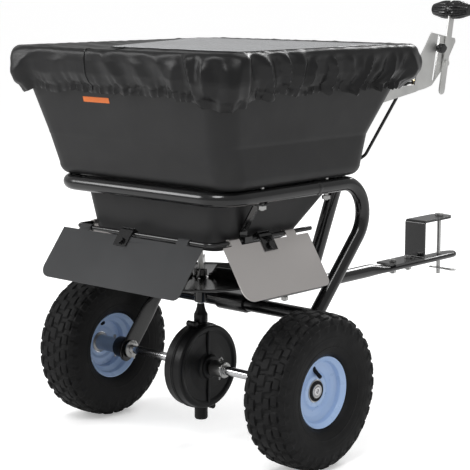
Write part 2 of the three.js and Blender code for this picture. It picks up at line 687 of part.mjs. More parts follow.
for (const [hand, name] of [[-1, 'left'], [1, 'right']]) {
  const place = (geometry) => {
    const right = move(geometry, wheelMiddle, 0, 0);
    return hand > 0 ? right : mirrored(right);
  };
  addPart(`tyre_${name}`, place(tyre), 'rubber');
  addPart(`rim_${name}`, place(rimWithHole), 'rimPaint');
  addPart(`valve_${name}`, place(move(valveStem, 0, 0, valveRadius)), 'rubber');
  if (hand > 0) {
    addPart('hub_right', place(hubBody), 'zinc');
  } else {
    addPart('hub_left', cut(place(hubBody), cotterHole(leftPin, gap)), 'zinc');
    addPart('wheel_pin', join(rod('z', -22, 20, [leftPin, 0], cotterRadius, 10),
      rod('z', 16, 19, [leftPin, 0], 3.4, 8)), 'zinc');
  }
}

// ---- Gearbox ------------------------------------------------------------------------------------

const cavity = gearboxHalfWidth - gearboxWall;
const neckTop = 111;
const housing = cut(
  join(
    turned([[0, -gearboxHalfWidth], [gearboxRadius - 3, -gearboxHalfWidth], [gearboxRadius, -gearboxHalfWidth + 3],
      [gearboxRadius, gearboxHalfWidth - 3], [gearboxRadius - 3, gearboxHalfWidth], [gearboxRadius - 10, gearboxHalfWidth],
      [gearboxRadius - 14, gearboxHalfWidth - 1.2], [0, gearboxHalfWidth - 1.2]], 'x', 24),
    rod('x', -gearboxHalfWidth - 6, gearboxHalfWidth + 6, [0, 0], 20, 18),
    rod('z', gearboxRadius - 8, 91, [0, 0], 12.2, 14),
    turned([[0, 90], [12, 90], [7, 103], [6.6, neckTop], [0, neckTop]], 'z', 14),
    rod('z', -98, -gearboxRadius + 8, [0, 0], 12, 14),
    ...[-1, 1].map((way) => rod('x', -gearboxHalfWidth + 3, gearboxHalfWidth + 1.5,
      [way * 56, -way * 58], 7, 8)),
    block(gearboxHalfWidth - 3, gearboxHalfWidth + 1.5, -3, 3, 18, 60),
    block(gearboxHalfWidth - 3, gearboxHalfWidth + 1.5, -3, 3, -60, -18),
  ),
  rod('x', -cavity, cavity, [0, 0], gearboxRadius - gearboxWall, 24),
  rod('x', -60, 60, [0, 0], axleRadius + 0.4, 18),
  rod('z', 0, 130, [0, 0], shaftRadius + 0.4, 14),
);
addPart('gearbox_right', common(housing, block(gap / 2, 60, -120, 120, -120, 130)), 'plastic');
addPart('gearbox_left', common(housing, block(-60, -gap / 2, -120, 120, -120, 130)), 'plastic');

// Teeth kept narrow enough to pass each other freely as the gears turn.
const toothHalf = 1.2; // reach above and below the pitch surface
const pinionPitch = (meshRadius * pinionTeeth) / crownTeeth;
const crownRoot = -(pinionPitch + toothHalf + 0.6);
const crownTip = -(pinionPitch - toothHalf);
function tooth(depth, base, tip) {
  const shape = new THREE.Shape();
  shape.moveTo(-base / 2, 0);
  shape.lineTo(base / 2, 0);
  shape.lineTo(tip / 2, depth);
  shape.lineTo(-tip / 2, depth);
  shape.closePath();
  const geometry = new THREE.ExtrudeGeometry(shape, { depth: toothFace, bevelEnabled: false });
  return geometry.translate(0, 0, meshRadius - toothFace / 2);
}
const crownTooth = tooth(crownTip - crownRoot + 0.5, 2.6, 1.6).rotateZ(-Math.PI / 2)
  .translate(crownRoot - 0.5, 0, 0);
const crownTeethRing = Array.from({ length: crownTeeth }, (_, i) =>
  crownTooth.clone().rotateX((2 * Math.PI * (i + 0.5)) / crownTeeth));
const crownBody = turned([
  [axleRadius + gap, crownRoot - 4], [meshRadius + toothFace / 2 + 1, crownRoot - 4],
  [meshRadius + toothFace / 2 + 1, crownRoot], [meshRadius - toothFace / 2 - 4, crownRoot],
  [meshRadius - toothFace / 2 - 8, crownRoot - 1.5], [18, crownRoot - 1.5], [16, crownRoot + 12],
  [axleRadius + gap, crownRoot + 12],
], 'x', 24, true);
addPart('crown_gear', join(crownBody, ...crownTeethRing), 'plastic');

const pinionTooth = () => {
  const shape = new THREE.Shape();
  shape.moveTo(5.5, -1.3);
  shape.lineTo(pinionPitch + toothHalf, -0.7);
  shape.lineTo(pinionPitch + toothHalf, 0.7);
  shape.lineTo(5.5, 1.3);
  shape.closePath();
  const geometry = new THREE.ExtrudeGeometry(shape, { depth: toothFace, bevelEnabled: false });
  return geometry.translate(0, 0, meshRadius - toothFace / 2);
};
const shaftTop = floor + 34;
addPart('impeller_shaft', join(
  rod('z', meshRadius - toothFace / 2 - 12, shaftTop, [0, 0], shaftRadius, 14),
  rod('z', meshRadius - toothFace / 2, meshRadius + toothFace / 2 + 8, [0, 0], 6.8, 14),
  ...Array.from({ length: pinionTeeth }, (_, i) => pinionTooth().rotateZ((2 * Math.PI * i) / pinionTeeth)),
), 'zinc');

// ---- Spreading disc -----------------------------------------------------------------------------

const finLength = impellerRadius - 26;
const fin = block(18, 18 + finLength, -1.6, 1.6, impellerHeight + 1, impellerHeight + impellerSheet + finHeight);
const finTrim = block(0, 32, -5, 5, impellerHeight + 14, impellerHeight + 60).rotateY(0);
addPart('impeller', cut(join(
  turned([[0, impellerHeight], [impellerRadius - 2, impellerHeight], [impellerRadius, impellerHeight + 1],
    [impellerRadius, impellerHeight + 3], [impellerRadius - 2, impellerHeight + impellerSheet],
    [0, impellerHeight + impellerSheet]], 'z', 28),
  rod('z', neckTop + 3, impellerHeight + 18, [0, 0], 11, 14),
  ...Array.from({ length: finCount }, (_, i) =>
    cut(fin, finTrim).rotateZ((2 * Math.PI * i) / finCount + degrees(10))),
), rod('z', 0, 240, [0, 0], shaftRadius + gap, 14)), 'plastic');

// A stirring wire through the top of the shaft, inside the throat of the hopper.
const stirHeight = floor + 24;
addPart('agitator', cut(join(
  rod('z', stirHeight - 7, stirHeight + 7, [0, 0], 10, 14),
  tube(bentPath([vector(8, 0, stirHeight), vector(26, 0, stirHeight), vector(36, 0, stirHeight - 12)], 5, 3),
    vector(0, 1, 0), 2.4, 8),
  tube(bentPath([vector(-8, 0, stirHeight), vector(-30, 0, stirHeight), vector(-38, 0, stirHeight + 14)], 5, 3),
    vector(0, 1, 0), 2.4, 8),
), rod('z', 0, 400, [0, 0], shaftRadius + gap, 14)), 'zinc');

// ---- Outlet gate --------------------------------------------------------------------------------

const gateTop = floor - gap - gateClear;
const gateSheet = 2;
const gateTravel = 40;
const railSide = outlet.halfWidth + 10;
const guideBottom = gateTop - gateSheet - gateClear;
const outletGuide = cut(
  block(-railSide - 10, railSide + 10, outlet.near - 6, outlet.far + 2, guideBottom - 2, floor - gap),
  block(-railSide, railSide, outlet.near - 8, outlet.far + 8, guideBottom, floor + 1),
  block(-railSide + 7, railSide - 7, outlet.near - 8, outlet.far + 8, guideBottom - 5, floor),
);
const guideStop = block(-railSide - 10, railSide + 10, outlet.near - 10, outlet.near - 6, guideBottom - 2, floor - gap);
addPart('gate_guide', join(outletGuide, guideStop), 'plastic');
const gateFront = outlet.far + 30;
addPart('gate', join(
  cut(block(-railSide + 1.2, railSide - 1.2, outlet.near - 5, gateFront, gateTop - gateSheet, gateTop),
    rod('z', 200, 240, [0, gateFront - 9], 2.6, 8)),
  block(-9, 9, gateFront - 3, gateFront, gateTop - 14, gateTop),
), 'zinc');

// ---- Deflectors ---------------------------------------------------------------------------------

const rodPath = bentPath([
  vector(-rodHalfWidth, rodFront, rodHeight), vector(-rodHalfWidth, -rodRear, rodHeight),
  vector(rodHalfWidth, -rodRear, rodHeight), vector(rodHalfWidth, rodFront, rodHeight),
], rodCorner, 4);
addPart('deflector_rod', tube(rodPath, vector(0, 0, 1), rodRadius, 10), 'paint');

// The strap that hangs the rod from the side tube, folded from one strip.
const hangTop = hoopHeight - tubeRadius - gap;
const strapShape = new THREE.Shape();
strapShape.moveTo(hoopHalfWidth + 9, hangTop);
strapShape.lineTo(hoopHalfWidth - 11, hangTop);
strapShape.lineTo(rodHalfWidth - 7, rodHeight + 14);
strapShape.lineTo(rodHalfWidth - 7, rodHeight - 7);
strapShape.lineTo(rodHalfWidth + 7, rodHeight - 7);
strapShape.lineTo(rodHalfWidth + 7, rodHeight + 6);
strapShape.lineTo(rodHalfWidth - 4.5, rodHeight + 6);
strapShape.lineTo(rodHalfWidth - 4.5, rodHeight + 13);
strapShape.lineTo(hoopHalfWidth - 9.6, hangTop - steelSheet);
strapShape.lineTo(hoopHalfWidth + 9, hangTop - steelSheet);
const strapForward = -53;
const strapSweep = new THREE.ExtrudeGeometry(strapShape, { depth: 18, bevelEnabled: false })
  .rotateX(Math.PI / 2).translate(0, strapForward, 0);
const rightStrap = cut(strapSweep, rod('y', -100, 0, [rodHalfWidth, rodHeight], rodRadius + gap, 10),
  rod('z', 280, 340, hopperBoltSpots[1], boltRadius + gap));
addPart('hanger_right', rightStrap, 'paint');
addPart('hanger_left', mirrored(rightStrap), 'paint');

// A plate hung along Y on an upright plane beside the rod, with two tabs curled over the rod.
function deflector(from, to, curls, clipAt, tilt) {
  const near = rodRadius + gap;
  const far = near + plateSheet;
  const shape = new THREE.Shape();
  const sharp = 12;
  shape.moveTo(from, -9);
  shape.lineTo(from, -plateLength + plateCorner);
  shape.absarc(from + plateCorner, -plateLength + plateCorner, plateCorner, Math.PI, Math.PI * 1.5, false);
  shape.lineTo(to - sharp, -plateLength);
  shape.absarc(to - sharp, -plateLength + sharp, sharp, -Math.PI / 2, 0, false);
  shape.lineTo(to, -9);
  shape.closePath();
  const sheet = profileAlongX(shape, near, far, 5);
  const tabs = curls.flatMap((at) => [
    block(near, far, at, at + curlWidth, -12, 0),
    rod('y', at, at + curlWidth, [0, 0], far, 10),
  ]);
  const boltY = clipAt + 15;
  const body = cut(join(sheet, ...tabs), rod('y', from - 50, to + 50, [0, 0], near, 10),
    rod('x', -20, 20, [boltY, -19], 3 + gap, 8));
  const clipBody = cut(join(
    block(far + gap, far + gap + 2, clipAt, clipAt + 30, -28, -2),
    rod('y', clipAt, clipAt + 30, [0, 0], far + 2.2, 10),
    block(-5, far + gap + 1, clipAt, clipAt + 30, far + 0.2, far + 2.2),
  ), rod('y', clipAt - 5, clipAt + 35, [0, 0], near + 0.1, 10),
  block(near - 0.3, far + gap, clipAt - 5, clipAt + 35, -40, -8.5),
  block(-20, near, clipAt - 5, clipAt + 35, -40, -2));
  const bolt = join(rod('x', near - 6, far + 5, [boltY, -19], 3, 8),
    rod('x', far + gap * 2 + 2, far + 7, [boltY, -19], 6.5, 8),
    rod('x', near - 5, near - gap, [boltY, -19], 5.5, 8));
  const lean = (geometry) => geometry.rotateY(-degrees(tilt));
  return [body, join(clipBody, bolt)].map(lean);
}
const sidePlate = deflector(-127, 87, [-106, 33], -35, 32)
  .map((geometry) => move(geometry, rodHalfWidth, 0, rodHeight));
const rearPlate = deflector(-182, 151, [-143, 90], -45, 38)
  .map((geometry) => move(geometry.rotateZ(-Math.PI / 2), 0, -rodRear, rodHeight));
['deflector', 'deflector_clip'].forEach((piece, index) => {
  const finish = index === 0 ? 'stainless' : 'zinc';
  addPart(`${piece}_right`, sidePlate[index], finish);
  addPart(`${piece}_left`, mirrored(sidePlate[index]), finish);
  addPart(`${piece}_rear`, rearPlate[index], index === 0 ? 'paint' : 'zinc');
});

// ---- Control ------------------------------------------------------------------------------------

const plateShape = new THREE.Shape([
  [391, 578], [464, 566], [466, 560], [443, 528], [425, 510], [393, 483], [372, 478], [340, 474],
  [340, 488], [351, 520], [351, 530], [374, 557], [385, 572],
].map(([y, z]) => new THREE.Vector2(y, z)));
const slotTop = { y: 413, z: 571 };
const slotFoot = { y: 397, z: 494 };
const slotAngle = Math.atan2(slotTop.y - slotFoot.y, slotTop.z - slotFoot.z);
const slotLength = Math.hypot(slotTop.y - slotFoot.y, slotTop.z - slotFoot.z);
const slotHalf = 3.4;
const slot = join(
  block(-10, 20, -slotHalf, slotHalf, 0, slotLength),
  rod('x', -10, 20, [0, 0], slotHalf, 8), rod('x', -10, 20, [0, slotLength], slotHalf, 8),
).rotateX(-slotAngle).translate(controlSide, slotFoot.y, slotFoot.z);
const armTop = bracketBoltHeight + 13;
const armFoot = bracketBoltHeight - 13;
const armShape = new THREE.Shape([
  [frontWall(armFoot) + 0.6, armFoot], [346, 474], [346, 486], [frontWall(armTop) + 0.6, armTop],
].map(([y, z]) => new THREE.Vector2(y, z)));
const flangeShape = new THREE.Shape([
  [frontWall(armFoot) + 0.6, armFoot], [frontWall(armFoot) + 3.4, armFoot],
  [frontWall(armTop) + 3.4, armTop], [frontWall(armTop) + 0.6, armTop],
].map(([y, z]) => new THREE.Vector2(y, z)));
const pivotHole = (grow) => rod('x', controlSide - 20, controlSide + 30, [leverPivot.y + 14, leverPivot.z - 2], 3 + grow, 8);
const controlBracket = cut(join(
  profileAlongX(plateShape, controlSide, controlSide + controlSheet),
  profileAlongX(armShape, controlSide, controlSide + controlSheet),
  profileAlongX(flangeShape, controlSide - 40, controlSide + controlSheet),
), slot, pivotHole(gap),
...bracketBoltSpots.map((x) => onFrontWall(rod('y', -20, 20, [0, 0], 3 + gap), x)));
addPart('control_bracket', controlBracket, 'zinc');
bracketBoltSpots.forEach((x) => {
  const bolt = join(rod('y', -10, 8, [0, 0], 3, 8), rod('y', 4.2, 8.5, [0, 0], 6, 10),
    rod('y', -8, -wall - 0.8, [0, 0], 6, 10));
  addPart('bracket_bolt', onFrontWall(bolt, x), 'zinc');
});

// The lever, leaning back across the outside of the bracket, with a grip along X at its top.
const leverIn = controlSide + controlSheet + 1.2;
const pivotAt = { y: leverPivot.y + 14, z: leverPivot.z - 2 };
const leverBlade = join(
  block(leverIn, leverIn + 3, -leverWidth / 2, leverWidth / 2, -leverDown, leverUp),
  rod('x', leverIn, leverIn + 3, [0, -leverDown], leverWidth / 2, 10),
);
const leverPlaced = leverBlade.rotateX(-leverLean).translate(0, pivotAt.y, pivotAt.z);
const gripAt = { y: pivotAt.y + (leverUp + 10) * Math.sin(leverLean), z: pivotAt.z + (leverUp + 10) * Math.cos(leverLean) };
addPart('lever', join(leverPlaced,
  rod('x', controlSide - 8, leverIn + 6, [pivotAt.y, pivotAt.z], 3, 8),
  rod('x', leverIn + 2, leverIn + 7, [pivotAt.y, pivotAt.z], 6, 8),
  rod('x', controlSide - 7, controlSide - gap, [pivotAt.y, pivotAt.z], 6, 8)), 'zinc');
const gripMiddle = leverIn + 1.5;
const gripHalf = gripLength / 2;
const gripBody = turned([
  [0, -gripHalf], [gripEndRadius - 2, -gripHalf], [gripEndRadius, -gripHalf + 3], [gripRadius, -gripHalf * 0.35],
  [gripRadius, gripHalf * 0.35], [gripEndRadius, gripHalf - 3], [gripEndRadius - 2, gripHalf], [0, gripHalf],
], 'x', 18);
addPart('grip', cut(gripBody.translate(gripMiddle, gripAt.y, gripAt.z),
  join(block(leverIn - gap, leverIn + 3 + gap, -leverWidth / 2 - gap, leverWidth / 2 + gap, -leverDown, leverUp + gap))
    .rotateX(-leverLean).translate(0, pivotAt.y, pivotAt.z)), 'plastic');

// A wing knob whose bolt runs in the slot and sets how far the lever may open.
const stopAt = { y: slotFoot.y + (slotTop.y - slotFoot.y) * 0.72, z: slotFoot.z + (slotTop.z - slotFoot.z) * 0.72 };
addPart('stop_knob', join(
  rod('x', controlSide - 6, controlSide + controlSheet + 2, [stopAt.y, stopAt.z], 2.7, 8),
  rod('x', controlSide - 6, controlSide - 0.6, [stopAt.y, stopAt.z], 6, 8),
  rod('x', controlSide + controlSheet + 0.6, controlSide + controlSheet + 9, [stopAt.y, stopAt.z], 6.5, 8),
  block(controlSide + controlSheet + 3, controlSide + controlSheet + 11, stopAt.y - 9, stopAt.y + 9,
    stopAt.z - 2, stopAt.z + 2)), 'plastic');

// The control cable, from the bracket's foot round the front of the hopper to the gate.
const cableInner = controlSide - cableRadius - 2;
const cablePath = bentPath([
  vector(cableInner, 362, 491), vector(cableInner, 319, 490), vector(cableInner - 60, 286, 360),
  vector(60, 262, 300), vector(0, gateFront + 84, gateTop - 8), vector(0, gateFront + gateTravel + 6, gateTop - 8),
], 18, 2);
addPart('cable', join(tube(cablePath, vector(0.2, 0.1, 1).normalize(), cableRadius, 6),
  rod('y', -9, 9, [0, 0], cableRadius + 2, 8).translate(cableInner, 345, 490.6)), 'plastic');

// ---- Cover --------------------------------------------------------------------------------------

const coverInner = inset(rimSize, -(rimLip + coverSlack));
const coverOuter = inset(coverInner, -coverSheet);
const coverCorner = hopperCorner + 10;
const coverTop = rim + 0.4 + coverSheet;
const cover = cut(
  loft([
    roundedLevel(coverOuter, coverCorner, rim - coverHang),
    roundedLevel(coverOuter, coverCorner, coverTop - 5),
    roundedLevel(inset(coverOuter, 1.5), coverCorner - 1.5, coverTop - 1.5),
    roundedLevel(inset(coverOuter, 5), coverCorner - 5, coverTop),
  ]),
  loft([
    roundedLevel(coverInner, coverCorner - coverSheet, rim - coverHang - 5),
    roundedLevel(coverInner, coverCorner - coverSheet, rim + 0.4),
  ]),
  loft([
    roundedLevel(inset(rimSize, windowInset + 10), hopperCorner - 15, rim - 5),
    roundedLevel(inset(rimSize, windowInset + 10), hopperCorner - 15, coverTop + 5),
  ]),
);
addPart('hopper_cover', cover, 'fabric');
addPart('cover_window', loft([
  roundedLevel(inset(rimSize, windowInset), hopperCorner - 8, coverTop + gap),
  roundedLevel(inset(rimSize, windowInset), hopperCorner - 8, coverTop + gap + 1.6),
]), 'vinyl');

// ---- Placing: on the ground, with the origin at the middle of the base --------------------------

const everything = new THREE.Box3().setFromObject(spreader, true);
const middle = everything.getCenter(vector(0, 0, 0));
spreader.children.forEach((mesh) => mesh.geometry.translate(-middle.x, -middle.y, -everything.min.z));

export default spreader;
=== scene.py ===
import math

import bpy
import numpy as np
from mathutils import Matrix, Vector


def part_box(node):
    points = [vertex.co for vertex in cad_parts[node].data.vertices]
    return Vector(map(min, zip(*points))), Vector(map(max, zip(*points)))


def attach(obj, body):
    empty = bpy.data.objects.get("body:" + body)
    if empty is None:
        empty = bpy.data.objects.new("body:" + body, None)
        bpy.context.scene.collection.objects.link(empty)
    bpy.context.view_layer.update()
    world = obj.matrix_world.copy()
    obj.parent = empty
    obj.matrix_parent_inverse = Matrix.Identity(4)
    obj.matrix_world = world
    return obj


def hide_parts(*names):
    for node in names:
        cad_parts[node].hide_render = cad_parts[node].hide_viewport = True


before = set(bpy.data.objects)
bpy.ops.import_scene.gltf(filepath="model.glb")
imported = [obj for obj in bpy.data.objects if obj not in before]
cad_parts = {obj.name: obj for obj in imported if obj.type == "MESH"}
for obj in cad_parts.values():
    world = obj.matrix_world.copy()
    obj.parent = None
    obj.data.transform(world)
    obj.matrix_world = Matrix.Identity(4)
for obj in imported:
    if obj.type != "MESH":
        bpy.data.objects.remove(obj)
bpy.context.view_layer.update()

# ---- Stand, light and camera ----------------------------------------------------------------------
# The machine stands on a wide pale floor under an even white sky, with a key lamp high behind it, a
# weaker fill lamp on its left and a rim lamp in front. Pieces are placed from the middle of the axle.
scene = bpy.context.scene
scene.view_settings.view_transform = "Standard"
axle_low, axle_high = (np.array(corner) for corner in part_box("axle"))
axle_middle = (axle_low + axle_high) / 2


def millimetres(places):
    """Places in millimetres from the middle of the axle, as metres in the shared frame."""
    return np.asarray(places, dtype=float) / 1000 + axle_middle


view_azimuth, view_elevation = math.radians(42.149), math.radians(9.413)
forward = Vector((-math.sin(view_azimuth) * math.cos(view_elevation),
                  math.cos(view_azimuth) * math.cos(view_elevation), -math.sin(view_elevation)))
rightward = Vector((math.cos(view_azimuth), math.sin(view_azimuth), 0))
upward = rightward.cross(forward)
camera_data = bpy.data.cameras.new("camera")
camera_data.lens, camera_data.sensor_width = 116.73, 36.0
camera = bpy.data.objects.new("camera", camera_data)
scene.collection.objects.link(camera)
turn = Matrix((rightward, upward, -forward)).transposed()
camera.matrix_world = Matrix.Translation(millimetres((1804.5, -1904.0, 667.4))) @ turn.to_4x4()
scene.camera = camera

world = bpy.data.worlds.new("studio")
world.use_nodes = True
sky = world.node_tree.nodes["Background"]
sky.inputs["Color"].default_value = (1.0, 1.0, 1.0, 1)


def seen_or_mirrored(tree, seen, mirrored, otherwise):
    """A value that is one thing to the camera, another in reflections and another as plain light."""
    make, link = tree.nodes.new, tree.links.new
    ray, glossy, camera_ray = map(make, ("ShaderNodeLightPath", "ShaderNodeMix", "ShaderNodeMix"))
    glossy.inputs["A"].default_value, glossy.inputs["B"].default_value = otherwise, mirrored
    camera_ray.inputs["B"].default_value = seen
    link(ray.outputs["Is Glossy Ray"], glossy.inputs["Factor"])
    link(glossy.outputs["Result"], camera_ray.inputs["A"])
    link(ray.outputs["Is Camera Ray"], camera_ray.inputs["Factor"])
    return camera_ray.outputs["Result"]


world.node_tree.links.new(seen_or_mirrored(world.node_tree, 1.0, 0.36, 0.72), sky.inputs["Strength"])
scene.world = world
lamp_target = Vector((0, -0.2, 0.35))


def soft_lamp(name, place, size, watts):
    """A round lamp that looks at the middle of the machine."""
    data = bpy.data.lights.new(name, "AREA")
    data.shape, data.size, data.energy = "DISK", size, watts
    lamp = bpy.data.objects.new(name, data)
    lamp.location = place
    lamp.rotation_euler = (lamp_target - Vector(place)).to_track_quat("-Z", "Y").to_euler()
    scene.collection.objects.link(lamp)


soft_lamp("key_lamp", (0.9, -2.4, 3.2), 1.6, 50)
soft_lamp("fill_lamp", (-2.2, -2.6, 1.8), 1.4, 30)
soft_lamp("rim_lamp", (-0.6, 3.0, 2.6), 1.5, 60)

floor_mesh = bpy.data.meshes.new("floor")
floor_reach = 300
floor_corners = [(x * floor_reach, y * floor_reach, 0) for x, y in ((-1, -1), (1, -1), (1, 1), (-1, 1))]
floor_mesh.from_pydata(floor_corners, [], [(0, 1, 2, 3)])
floor = bpy.data.objects.new("floor", floor_mesh)
scene.collection.objects.link(floor)
floor_finish = bpy.data.materials.new("pale_floor")
floor_finish.use_nodes = True
floor_tree = floor_finish.node_tree
floor_shader = floor_tree.nodes["Principled BSDF"]
floor_tone = floor_tree.nodes.new("ShaderNodeCombineColor")
floor_white = seen_or_mirrored(floor_tree, 1.0, 0.68, 0.85)
for channel in ("Red", "Green", "Blue"):
    floor_tree.links.new(floor_white, floor_tone.inputs[channel])
floor_tree.links.new(floor_tone.outputs["Color"], floor_shader.inputs["Base Color"])
floor_shader.inputs["Specular IOR Level"].default_value = 0.1
floor_shader.inputs["Emission Color"].default_value = (1, 1, 1, 1)
floor_tree.links.new(seen_or_mirrored(floor_tree, 0.3, 0.0, 0.0), floor_shader.inputs["Emission Strength"])
floor_shader.inputs["Roughness"].default_value = 0.75
floor_mesh.materials.append(floor_finish)

# ---- Hopper ---------------------------------------------------------------------------------------
# One rotational moulding in black polyethylene: a square tub with a crease a third of the way up,
# standing by its ledge on the frame tube, and a small funnel below it with a flat floor.


def finish(name, colour, roughness, metallic=0.0, mottle=0.12, mottle_scale=9.0, grain=0.15,
           grain_scale=500.0, stretch=(1, 1, 1), depth=0.0003, scratches=0.0, dust=0.0, **sockets):
    """A finish whose tone and gloss drift slowly, with a fine grain and a few hairline scratches."""
    material = bpy.data.materials.new(name)
    material.use_nodes = True
    tree = material.node_tree
    make, link = tree.nodes.new, tree.links.new
    shader = tree.nodes["Principled BSDF"]
    shader.inputs["Metallic"].default_value = metallic
    for socket, value in sockets.items():
        shader.inputs[socket.replace("_", " ").title().replace("Ior", "IOR")].default_value = value
    place = make("ShaderNodeTexCoord")
    mapping = make("ShaderNodeMapping")
    mapping.inputs["Scale"].default_value = stretch
    link(place.outputs["Object"], mapping.inputs["Vector"])

    def noise(scale, detail, source=mapping.outputs["Vector"]):
        node = make("ShaderNodeTexNoise")
        node.inputs["Scale"].default_value, node.inputs["Detail"].default_value = scale, detail
        link(source, node.inputs["Vector"])
        return node.outputs["Fac"]

    cloud = noise(mottle_scale, 5, place.outputs["Object"])
    tone = make("ShaderNodeMix")
    tone.data_type = "RGBA"
    link(cloud, tone.inputs["Factor"])
    darker = [max(channel * (1 - mottle * 2), 0) for channel in colour]
    lighter = [min(channel * (1 + mottle * 2), 1) for channel in colour]
    tone.inputs["A"].default_value = (*darker, 1)
    tone.inputs["B"].default_value = (*lighter, 1)
    colour_out = tone.outputs["Result"]
    if dust:
        settle = make("ShaderNodeMix")
        settle.data_type = "RGBA"
        spread = make("ShaderNodeMapRange")
        link(noise(38, 6, place.outputs["Object"]), spread.inputs["Value"])
        spread.inputs["From Min"].default_value, spread.inputs["From Max"].default_value = 0.5, 0.75
        spread.inputs["To Max"].default_value = dust
        link(spread.outputs["Result"], settle.inputs["Factor"])
        link(colour_out, settle.inputs["A"])
        settle.inputs["B"].default_value = (0.32, 0.3, 0.27, 1)
        colour_out = settle.outputs["Result"]
    link(colour_out, shader.inputs["Base Color"])
    gloss = make("ShaderNodeMapRange")
    link(noise(mottle_scale * 4, 4, place.outputs["Object"]), gloss.inputs["Value"])
    gloss.inputs["To Min"].default_value = roughness * 0.8
    gloss.inputs["To Max"].default_value = min(roughness * 1.25, 1)
    link(gloss.outputs["Result"], shader.inputs["Roughness"])
    height = noise(grain_scale, 3)
    if scratches:
        streaks = make("ShaderNodeMapping")
        streaks.inputs["Scale"].default_value = (7, 160, 90)
        streaks.inputs["Rotation"].default_value = (0.5, 0.7, 0.9)
        link(place.outputs["Object"], streaks.inputs["Vector"])
        thin = make("ShaderNodeMapRange")
        link(noise(4.0, 2, streaks.outputs["Vector"]), thin.inputs["Value"])
        thin.inputs["From Min"].default_value, thin.inputs["From Max"].default_value = 0.62, 0.7
        thin.inputs["To Max"].default_value = scratches
        add = make("ShaderNodeMath")
        add.operation = "ADD"
        link(height, add.inputs[0])
        link(thin.outputs["Result"], add.inputs[1])
        height = add.outputs["Value"]
    bump = make("ShaderNodeBump")
    bump.inputs["Strength"].default_value, bump.inputs["Distance"].default_value = grain, depth
    link(height, bump.inputs["Height"])
    link(bump.outputs["Normal"], shader.inputs["Normal"])
    return material


def skin(name, rows, material, body, around=True, over=False, caps=True):
    """A smooth mesh over a grid of points: each row is joined round on itself where around is set,
    the last row joins the first where over is set, and flat caps close the two ends."""
    rows = np.asarray(rows, dtype=float)
    count, across = rows.shape[:2]
    first = np.arange(count if over else count - 1)[:, None]
    second = np.arange(across if around else across - 1)[None, :]
    low, high = first * across, (first + 1) % count * across
    step = (second + 1) % across
    faces = np.stack([low + second, low + step, high + step, high + second], -1).reshape(-1, 4).tolist()
    if caps and not over and around:
        if caps != "last":
            faces.append(list(range(across))[::-1])
        faces.append(list(range((count - 1) * across, count * across)))
    mesh = bpy.data.meshes.new(name)
    mesh.from_pydata(rows.reshape(-1, 3).tolist(), [], faces)
    corners = rows.reshape(-1, 3) - rows.reshape(-1, 3).mean(0)
    quads = np.array(faces[:(count if over else count - 1) * (across if around else across - 1)])
    a, b, c, d = (corners[quads[:, i]] for i in range(4))
    volume = np.einsum("ij,ij->", a, np.cross(b, c)) + np.einsum("ij,ij->", a, np.cross(c, d))
    if volume < 0 and around:
        mesh.flip_normals()
    mesh.polygons.foreach_set("use_smooth", [True] * len(mesh.polygons))
    mesh.set_sharp_from_angle(angle=math.radians(38))
    mesh.materials.append(material)
    piece = bpy.data.objects.new(name, mesh)
    scene.collection.objects.link(piece)
    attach(piece, body)
    return piece


def rounded_square(side, rear, front, corner, z, steps=14, run=24):
    """A level outline with quarter-circle corners and evenly spaced points along its four sides."""
    centres = [(side - corner, front - corner), (corner - side, front - corner),
               (corner - side, corner - rear), (side - corner, corner - rear)]
    pieces = []
    for quarter, (x, y) in enumerate(centres):
        angle = (quarter + np.linspace(0, 1, steps + 1)) * math.pi / 2
        arc = np.stack([x + corner * np.cos(angle), y + corner * np.sin(angle)], 1)
        x_next, y_next = centres[(quarter + 1) % 4]
        angle_next = (quarter + 1) * math.pi / 2
        goal = np.array([x_next + corner * math.cos(angle_next), y_next + corner * math.sin(angle_next)])
        line = arc[-1] + (goal - arc[-1]) * np.linspace(0, 1, run + 2)[1:-1, None]
        pieces += [arc, line]
    flat = np.concatenate(pieces)
    return np.column_stack([flat, np.full(len(flat), float(z))])


# half width, reach to the rear and reach to the front, at three heights of the tub
ledge, ledge_size = 339.0, np.array([212.5, 157, 203.5])
shoulder, shoulder_size = 71, np.array([215.7, 175, 215.7])
tub_rim, rim_size = 555.0, np.array([251, 218, 305])
tub_corner, rim_corner = 41.0, 50
ledge_round = 20


def hopper_rows(by):
    """The hopper's levels drawn in from its outside by a distance, from the floor to the rim."""
    rows = []
    for side, rear, front, corner, z in (
            (118, 90, 58, 18, 228), (124, 96, 64, 22, 229.5), (130, 102, 70, 25, 233),
            (141, 113, 81, 28, 239), (148, 120, 88, 30, 245), (148.6, 120.4, 90, 30, 247),
            (172, 126, 192, 30, 338.4)):
        rows.append(rounded_square(side - by, rear - by, front - by, max(corner - by, 12), z + by))
    for angle in np.radians([0, 12, 25, 38, 52, 66, 78, 90]):
        inward = by + (ledge_round - by) * (1 - math.sin(angle))
        rows.append(rounded_square(*(ledge_size - inward), tub_corner - inward,
                                   ledge + by + (ledge_round - by) * (1 - math.cos(angle))))
    for part in (0.3, 0.6, 0.94, 1.0, 1.03):
        size = ledge_size + (shoulder_size - ledge_size) * min(part, 1.0)
        rows.append(rounded_square(*(size - by + (0.8 if part > 1 else 0)), tub_corner - by,
                                   ledge + ledge_round + (shoulder - ledge_round) * part))
    for part in (0.05, 0.25, 0.45, 0.65, 0.85, 0.94):
        size = shoulder_size + (rim_size - shoulder_size) * part
        rows.append(rounded_square(*(size - by), tub_corner - by + 6 * part,
                                   ledge + shoulder + (tub_rim - ledge - shoulder) * part))
    return rows


